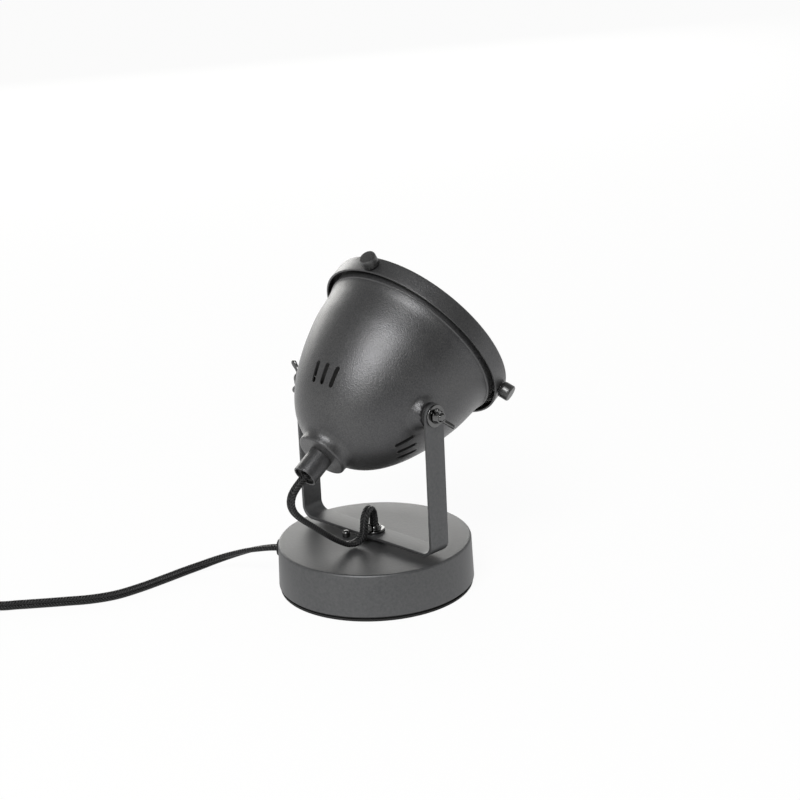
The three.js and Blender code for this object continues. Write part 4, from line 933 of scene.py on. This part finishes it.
def slot_cutters():
    mesh = bmesh.new()
    radius = SLOT_WIDTH / 2
    run = SLOT_LENGTH / 2 - radius
    for middle in SLOT_GROUPS:
        for number in (-1, 0, 1):
            turn = Matrix.Rotation(math.radians(middle + SLOT_SPACING * number), 4, "Z")
            loops = []
            for reach in SLOT_CUT:
                loop = []
                for i in range(SLOT_SIDES):
                    angle = (i + 0.5) / SLOT_SIDES * 2 * math.pi
                    up = math.copysign(run, math.cos(angle)) + radius * math.cos(angle)
                    point = Vector((reach, radius * math.sin(angle), SLOT_MIDDLE + up))
                    loop.append(mesh.verts.new(HEAD @ turn @ (point * MM)))
                loops.append(loop)
            skin(mesh, loops, capped=True)
    return linked_piece(mesh, "slot_cutters", sandy_coat)


shade = shade_shell()
cut(shade, slot_cutters(), SLOT_CREASE)
fitted(shade, "head", "sanded_coat", "shade")

# Rear sleeve: a short turned tube, coated with the shade, screwed to it by a threaded nipple. A
# soft bushing sits a little inside its mouth, round the lead.
SLEEVE_RADIUS = 7.75
SLEEVE_BORE = 6.65
SLEEVE_END = -65.7
SLEEVE_SEAT = NECK_END - TOUCH_GAP
SLEEVE_FLOOR = SLEEVE_SEAT - 3.0
SLEEVE_RING = -57
NIPPLE_HOLE = 4.5
BUSHING_BORE = 3.4
BUSHING_RADIUS = SLEEVE_BORE - TOUCH_GAP
BUSHING_END = -64.2
BUSHING_BACK = -60.7
HOLDER_LEAD_PLACES = (BUSHING_END, -61, -57, -53, -49, -45, -41)
sleeve = turned("neck_sleeve_tube", [
    (SLEEVE_BORE, SLEEVE_END, SOFT), (SLEEVE_RADIUS, SLEEVE_END, 0.45), (SLEEVE_RADIUS, SLEEVE_RING),
    (SLEEVE_RADIUS, SLEEVE_SEAT, SOFT), (NIPPLE_HOLE, SLEEVE_SEAT), (NIPPLE_HOLE, SLEEVE_FLOOR),
    (SLEEVE_BORE, SLEEVE_FLOOR)], sandy_coat, HEAD, 96)
fitted(sleeve, "head", "sanded_coat", "neck_sleeve")
bushing = turned("entry_bushing_soft", [
    (BUSHING_BORE, BUSHING_END, 0.6), (BUSHING_RADIUS, BUSHING_END, 0.4),
    (BUSHING_RADIUS, BUSHING_BACK), (BUSHING_BORE, BUSHING_BACK)], black_rubber, HEAD, 64)
fitted(bushing, "head", "black_rubber", "entry_bushing")
dress(zinc_steel, "neck_nipple", "neck_nut")
holder_path = [HEAD @ Vector((0, 0, place * MM)) for place in HOLDER_LEAD_PLACES]
holder_lead = lead_along("holder_lead_cloth", holder_path, ((0, (1, 0, 0)), (1, (1, 0, 0))), woven_cotton)
fitted(holder_lead, "head", "fabric", "holder_lead")

# Front ring: a steel band that stands off the rim on three bushes, coated like the shade. Its
# front edge is turned in over the rim, and its inner face is painted black as painted shade, so the gap
# between them is dark.
RING_RADIUS = 63.1
RING_INSIDE = 61.8
RING_BACK = 46.2
RING_FRONT = 58.0
RING_EDGE = 1.1
LIP_RADIUS = 57.72
LIP_BACK = 56.7
PAINTED_SHADE_RADIUS = 62.0
front_ring = turned("front_ring_band", [
    (RING_INSIDE, RING_BACK, SOFT), (RING_RADIUS, RING_BACK, 0.4), (RING_RADIUS, 50.0),
    (RING_RADIUS, 54.0), (RING_RADIUS, RING_FRONT, RING_EDGE), (LIP_RADIUS, RING_FRONT, SOFT),
    (LIP_RADIUS, LIP_BACK, SOFT), (RING_INSIDE, LIP_BACK, 0.8), (RING_INSIDE, 52.0)], sandy_coat, HEAD,
    SHADE_SIDES)
# The ring's inner face takes the black as painted shade for the gap between ring and rim.
front_ring.data.materials.append(black_lacquer_and_painted_shade)
from_axis = HEAD.inverted()
for face in front_ring.data.polygons:
    face.material_index = int((from_axis @ face.center).xy.length < PAINTED_SHADE_RADIUS * MM)
fitted(front_ring, "head", "sanded_coat", "front_ring")
# Bush steel: painted nearly black as painted shade, for the gap between ring and rim where the bushes sit.
bush_painted_shade = grained("steel_with_painted_shade", "1a1a1b", "262627", (0.3, 0.4), 0.6, 0.01, 0.5)
dress(bush_painted_shade, "ring_bush_1", "ring_bush_2", "ring_bush_3")

# Ring screws: turned steel screws with a round knob over a small collar, finished in dark grey
# nickel. They go through the ring and its bushes, and hold the ring to the shade's rim.
KNOB_SIDES = 176
KNOB_RADIUS = 5.1
KNOB_FOOT = 64.0
# The two rings on the knob's straight side spread its glint evenly.
KNOB_OUTLINE = ((4.5, 0), (4.75, 0.1), (KNOB_RADIUS, 0.6), (KNOB_RADIUS, 2.4), (KNOB_RADIUS, 4.4),
                (KNOB_RADIUS, 6.2), (4.75, 6.7), (4.4, 6.8), (2.0, 6.7), (0, 6.7))
COLLAR_RADIUS = 3.4
COLLAR_FOOT = 63.4
SCREW_RADIUS = 2
SCREW_TIP = 54.9
SCREW_PLACE = 51.2
# Knurled grey nickel: a dark grey metal, whose fine knurl is drawn as a grain that breaks its glint.
grey_nickel = grained("knurled_grey_nickel", "444444", "626262", (0.26, 0.38), 0.45, 0.08, 0.8)

screw_outline = [(0, SCREW_TIP), (SCREW_RADIUS, SCREW_TIP, EASED), (SCREW_RADIUS, COLLAR_FOOT),
                 (COLLAR_RADIUS, COLLAR_FOOT, CRISP), (COLLAR_RADIUS, KNOB_FOOT)]
screw_outline += [(radius, KNOB_FOOT + above) for radius, above in KNOB_OUTLINE]
for i in range(3):
    radial = (HEAD @ Matrix.Translation((0, 0, SCREW_PLACE * MM))
              @ Matrix.Rotation(math.radians(90 + 120 * i), 4, "Z") @ Matrix.Rotation(math.pi / 2, 4, "Y"))
    screw = turned(f"ring_screw_{i + 1}_knurled", screw_outline, grey_nickel, radial, KNOB_SIDES)
    fitted(screw, f"ring_screw_{i + 1}", "grey_knurl", f"ring_screw_{i + 1}")

# Lampholder: black moulded plastic in two halves screwed together, with a brass screw shell and a
# sprung middle contact inside.
HOLDER_RADIUS = 13.6
HOLDER_BACK = NECK_END + SHADE_WALL + TOUCH_GAP
HOLDER_TAPER = 1.8
HOLDER_SPLIT = -33.7
CAP_FLOOR = -40.7
LEAD_HOLE = 3.4
BODY_WAIST = 12.6
SKIRT_RADIUS = 14.4
SKIRT_BACK = -7.4
SKIRT_FRONT = -5.4
SHELL_BORE = 8.1
SHELL_FLOOR = -28.4
# Bare brass: warm, with a light tarnish.
bare_brass = grained("bare_brass", "9c7a3c", "b8924c", (0.25, 0.4), 0.8, 0.01, 1.0)
holder_cap = turned("holder_cap_moulded", [
    (NIPPLE_HOLE, HOLDER_BACK), (HOLDER_RADIUS - HOLDER_TAPER, HOLDER_BACK, 1.2),
    (HOLDER_RADIUS, HOLDER_BACK + HOLDER_TAPER, 1.2), (HOLDER_RADIUS, HOLDER_SPLIT, 0.4),
    (LEAD_HOLE, HOLDER_SPLIT), (LEAD_HOLE, CAP_FLOOR), (NIPPLE_HOLE, CAP_FLOOR)], black_abs, HEAD, 96)
fitted(holder_cap, "head", "black_plastic", "holder_cap")
body_back = HOLDER_SPLIT + TOUCH_GAP
holder_body = turned("holder_body_moulded", [
    (0, body_back), (HOLDER_RADIUS, body_back, 0.4), (BODY_WAIST, SKIRT_BACK),
    (SKIRT_RADIUS, SKIRT_BACK, SOFT), (SKIRT_RADIUS, SKIRT_FRONT, 0.5), (SHELL_BORE, SKIRT_FRONT, SOFT),
    (SHELL_BORE, SHELL_FLOOR), (0, SHELL_FLOOR)], black_abs, HEAD, 96)
fitted(holder_body, "head", "black_plastic", "holder_body")
dress(bare_brass, "holder_shell", "holder_contact")

# Bulb: the common small globe, 45 mm across, blown in opal glass. Its nickelled cap screws into the
# holder's shell, and the glass stays just behind the shade's rim.
CAP_TIP = ((0, -26.6), (2.2, -26.6, 0.4), (2.4, -24.6), (4.6, -24.4, 0.3), (6.2, -21.4))
CAP_RADIUS = 6.9
CAP_THREAD_DEPTH = 0.45
CAP_THREAD_STEP = 0.5
CAP_THREAD_POINTS = 25
CAP_THREAD_BACK = -20.6
CAP_THREAD_FRONT = -8.2
CAP_FRONT = -5.4
GLOBE_NECK = ((0, CAP_FRONT + TOUCH_GAP), (8.2, CAP_FRONT + TOUCH_GAP, 0.6), (8.2, -1.5), (9.2, 7.0, 6.0))
GLOBE_RADIUS = 22.3
GLOBE_MIDDLE = 30.7
GLOBE_START = -62
GLOBE_STEPS = 40
# Nickelled cap: bright, with rolled screw turns.
nickel_plate = grained("nickel_plate", "a9a8a3", "c6c4be", (0.15, 0.25), 0.8, 0.006, 1.0)
# Opal glass: milky white and glossy.
opal_glass = grained("opal_glass", "ecebe6", "f2f1ec", (0.06, 0.1), 2.0, 0.002, 0.0, 0.6)
cap_outline = list(CAP_TIP)
for i in range(CAP_THREAD_POINTS):
    root = CAP_THREAD_DEPTH * (i % 4 in (0, 1))
    cap_outline.append((CAP_RADIUS - root, CAP_THREAD_BACK + i * CAP_THREAD_STEP))
cap_outline += [(CAP_RADIUS, CAP_THREAD_FRONT), (CAP_RADIUS, CAP_FRONT, SOFT), (0, CAP_FRONT)]
bulb_cap = turned("bulb_cap_screw", cap_outline, nickel_plate, HEAD, 64)
fitted(bulb_cap, "bulb", "nickel", "bulb_cap")
globe_outline = list(GLOBE_NECK)
for i in range(GLOBE_STEPS):
    angle = math.radians(GLOBE_START + (90 - GLOBE_START) * i / GLOBE_STEPS)
    globe_outline.append((GLOBE_RADIUS * math.cos(angle), GLOBE_MIDDLE + GLOBE_RADIUS * math.sin(angle)))
globe_outline.append((0, GLOBE_MIDDLE + GLOBE_RADIUS))
bulb_globe = turned("bulb_globe_opal", globe_outline, opal_glass, HEAD, 96)
fitted(bulb_globe, "bulb", "opal_glass", "bulb_glass")

# Inline switch: two moulded black halves with a thin parting line, and a rocker tipped to one
# side in a recess.
SWITCH_LENGTH = 60
SWITCH_WIDTH = 25
SWITCH_CORNER = 9.0
SWITCH_SPLIT = 8
SWITCH_TOP = 16.3
FOOT_EDGE = 1.2
TOP_EDGE = 1.6
EDGE_STEPS = 5
POCKET_START = 21.0
POCKET_LENGTH = 18.6
POCKET_WIDTH = 12
POCKET_CORNER = 0.8
POCKET_FLOOR = 11.1
POCKET_CUT_TOP = 20
ROCKER_PLACE = (30.3, 0, 15.9)
ROCKER_TIP = math.radians(7)
ROCKER_WIDTH = 11.0
ROCKER_PROFILE = ((-8.5, -2.6, ROUND), (8.5, -2.6, ROUND), (8.5, 2.6, FULL), (0, 1.87, 3.0),
                  (-8.5, 2.6, FULL))


def rounded_block(name, length, width, levels, corner, material, place):
    """A block with round corners in plan. Each level has its height and its inset all round."""
    mesh = bmesh.new()
    rings = []
    for height, inset in levels:
        outline = oblong(inset, length - inset, width / 2 - inset, corner - inset)
        rings.append([mesh.verts.new(place @ (Vector((x, y, height)) * MM)) for x, y in outline])
    skin(mesh, rings, capped=True)
    return linked_piece(mesh, name, material)


def rounded_levels(bottom, top, lower_edge, upper_edge):
    """The levels of a block whose lower and upper edges are rounded."""
    quarter = [i / EDGE_STEPS * math.pi / 2 for i in range(EDGE_STEPS + 1)]
    lower = [(bottom + lower_edge * (1 - math.cos(a)), lower_edge * (1 - math.sin(a))) for a in quarter]
    upper = [(top - upper_edge * (1 - math.sin(a)), upper_edge * (1 - math.cos(a))) for a in quarter]
    return lower + upper


AT_SWITCH = PARK @ Matrix.Translation((TOUCH_GAP * MM, 0, 0))
switch_base = rounded_block("switch_base_half", SWITCH_LENGTH, SWITCH_WIDTH,
                            rounded_levels(0, SWITCH_SPLIT, FOOT_EDGE, EASED), SWITCH_CORNER, black_abs,
                            AT_SWITCH)
fitted(switch_base, "base", "black_plastic", "switch_base")
switch_cover = rounded_block("switch_cover_half", SWITCH_LENGTH, SWITCH_WIDTH,
                             rounded_levels(SWITCH_SPLIT + TOUCH_GAP, SWITCH_TOP, EASED, TOP_EDGE),
                             SWITCH_CORNER, black_abs, AT_SWITCH)
pocket = rounded_block("pocket", POCKET_LENGTH, POCKET_WIDTH, ((POCKET_FLOOR, 0), (POCKET_CUT_TOP, 0)),
                       POCKET_CORNER, black_abs, PARK @ Matrix.Translation((POCKET_START * MM, 0, 0)))
cut(switch_cover, pocket)
fitted(switch_cover, "base", "black_plastic", "switch_cover")
# Rocker: the same plastic, polished by fingers.
polished_abs = grained("polished_black_abs", "0c0c0d", "131314", (0.2, 0.3), 1.0, 0.004)
rocker_mesh = bmesh.new()
tipped = PARK @ Matrix.Translation(Vector(ROCKER_PLACE) * MM) @ Matrix.Rotation(ROCKER_TIP, 4, "Y")
flanks = []
for side in (-ROCKER_WIDTH / 2, ROCKER_WIDTH / 2):
    flanks.append([rocker_mesh.verts.new(tipped @ (Vector((x, side, z)) * MM))
                   for x, z in filleted(ROCKER_PROFILE, True)])
skin(rocker_mesh, flanks, capped=True)
rocker = linked_piece(rocker_mesh, "switch_rocker_key", polished_abs)
fitted(rocker, "rocker", "black_plastic", "switch_rocker")

# Coil tie: a soft black plastic band closed round all the turns. Its CAD shape is kept, and only
# its finish is set here.
dress(black_abs, "coil_tie")

# Plug: a flat two-pin plug moulded onto the lead, with a ribbed boot and pins that are sleeved
# over half their length.
PLUG_LENGTH = 36
PLUG_MIDDLE = 6.85
PLUG_SECTIONS = ((0, 35.3, 13.7, 0.6), (0.6, 35.3, 13.7, 0), (14, 35.3, 13.7, 0), (20, 29.4, 12.9, 0),
                 (28, 21.6, 11.4, 0), (36, 14, 9.6, 0.3))
PLUG_CORNER_SHARE = 0.42
BOOT_LENGTH = 20
BOOT_SUNK = 0.5
BOOT_ROOT = 4.55
BOOT_TIP = 3.7
BOOT_GROOVE_SHARE = 0.9
BOOT_SIDES = 32
PIN_RADIUS = 2
PIN_END = 19
PIN_OFFSET = 9.3
PIN_SLEEVE_RADIUS = 1.95
PIN_SLEEVE_END = 9.4
TAIL_RUN = 48.3
AT_TAIL = PARK @ Matrix.Translation(Vector((COIL_MIDDLE[0] + COIL_OUTER, COIL_MIDDLE[1], 0)) * MM)
PLUG_TIP = TAIL_RUN + TOUCH_GAP + BOOT_LENGTH + PLUG_LENGTH
PLUG = (AT_TAIL @ Matrix.Rotation(math.pi / 2, 4, "Z") @ Matrix.Translation((PLUG_TIP * MM, 0, 0))
        @ Matrix.Rotation(math.pi, 4, "Z"))


def plug_shell():
    mesh = bmesh.new()
    rings = []
    for along, wide, tall, inset in PLUG_SECTIONS:
        half = tall / 2 - inset
        section = oblong(inset - wide / 2, wide / 2 - inset, half, half * 2 * PLUG_CORNER_SHARE)
        rings.append([mesh.verts.new(PLUG @ (Vector((along, y, PLUG_MIDDLE + z)) * MM)) for y, z in section])
    skin(mesh, rings, capped=True)
    boot = []
    for i in range(BOOT_LENGTH + 1):
        size = BOOT_ROOT + (BOOT_TIP - BOOT_ROOT) * i / BOOT_LENGTH
        if i % 3 == 0:
            size *= BOOT_GROOVE_SHARE
        ring = []
        for k in range(BOOT_SIDES):
            angle = k / BOOT_SIDES * 2 * math.pi
            point = Vector((PLUG_LENGTH - BOOT_SUNK + i, size * math.cos(angle),
                            PLUG_MIDDLE + size * math.sin(angle)))
            ring.append(mesh.verts.new(PLUG @ (point * MM)))
        boot.append(ring)
    skin(mesh, boot, capped=True)
    return linked_piece(mesh, "plug_body_moulded", black_abs)


plug = plug_shell()
fitted(plug, "base", "black_plastic", "plug_body")
on_spare_lead = ["coil_tie", plug]
for number, side in ((1, -1), (2, 1)):
    seat = (PLUG @ Matrix.Translation(Vector((0, side * PIN_OFFSET, PLUG_MIDDLE)) * MM)
            @ Matrix.Rotation(-math.pi / 2, 4, "Y"))
    pin = turned(f"plug_pin_{number}_bare", [
        (0, PIN_SLEEVE_END + CRISP), (PIN_RADIUS, PIN_SLEEVE_END + CRISP, EASED),
        (PIN_RADIUS, PIN_END - 0.8, 0.7), (PIN_RADIUS - 0.8, PIN_END, 0.4), (0, PIN_END)], nickel_plate,
        seat, 32)
    fitted(pin, "base", "nickel", f"plug_pin_{number}")
    sleeve_part = turned(f"plug_pin_{number}_sleeve", [
        (0, -1), (PIN_SLEEVE_RADIUS, -1), (PIN_SLEEVE_RADIUS, PIN_SLEEVE_END, EASED),
        (0, PIN_SLEEVE_END)], black_abs, seat, 32)
    fitted(sleeve_part, "base", "black_plastic")
    on_spare_lead += [pin, sleeve_part]
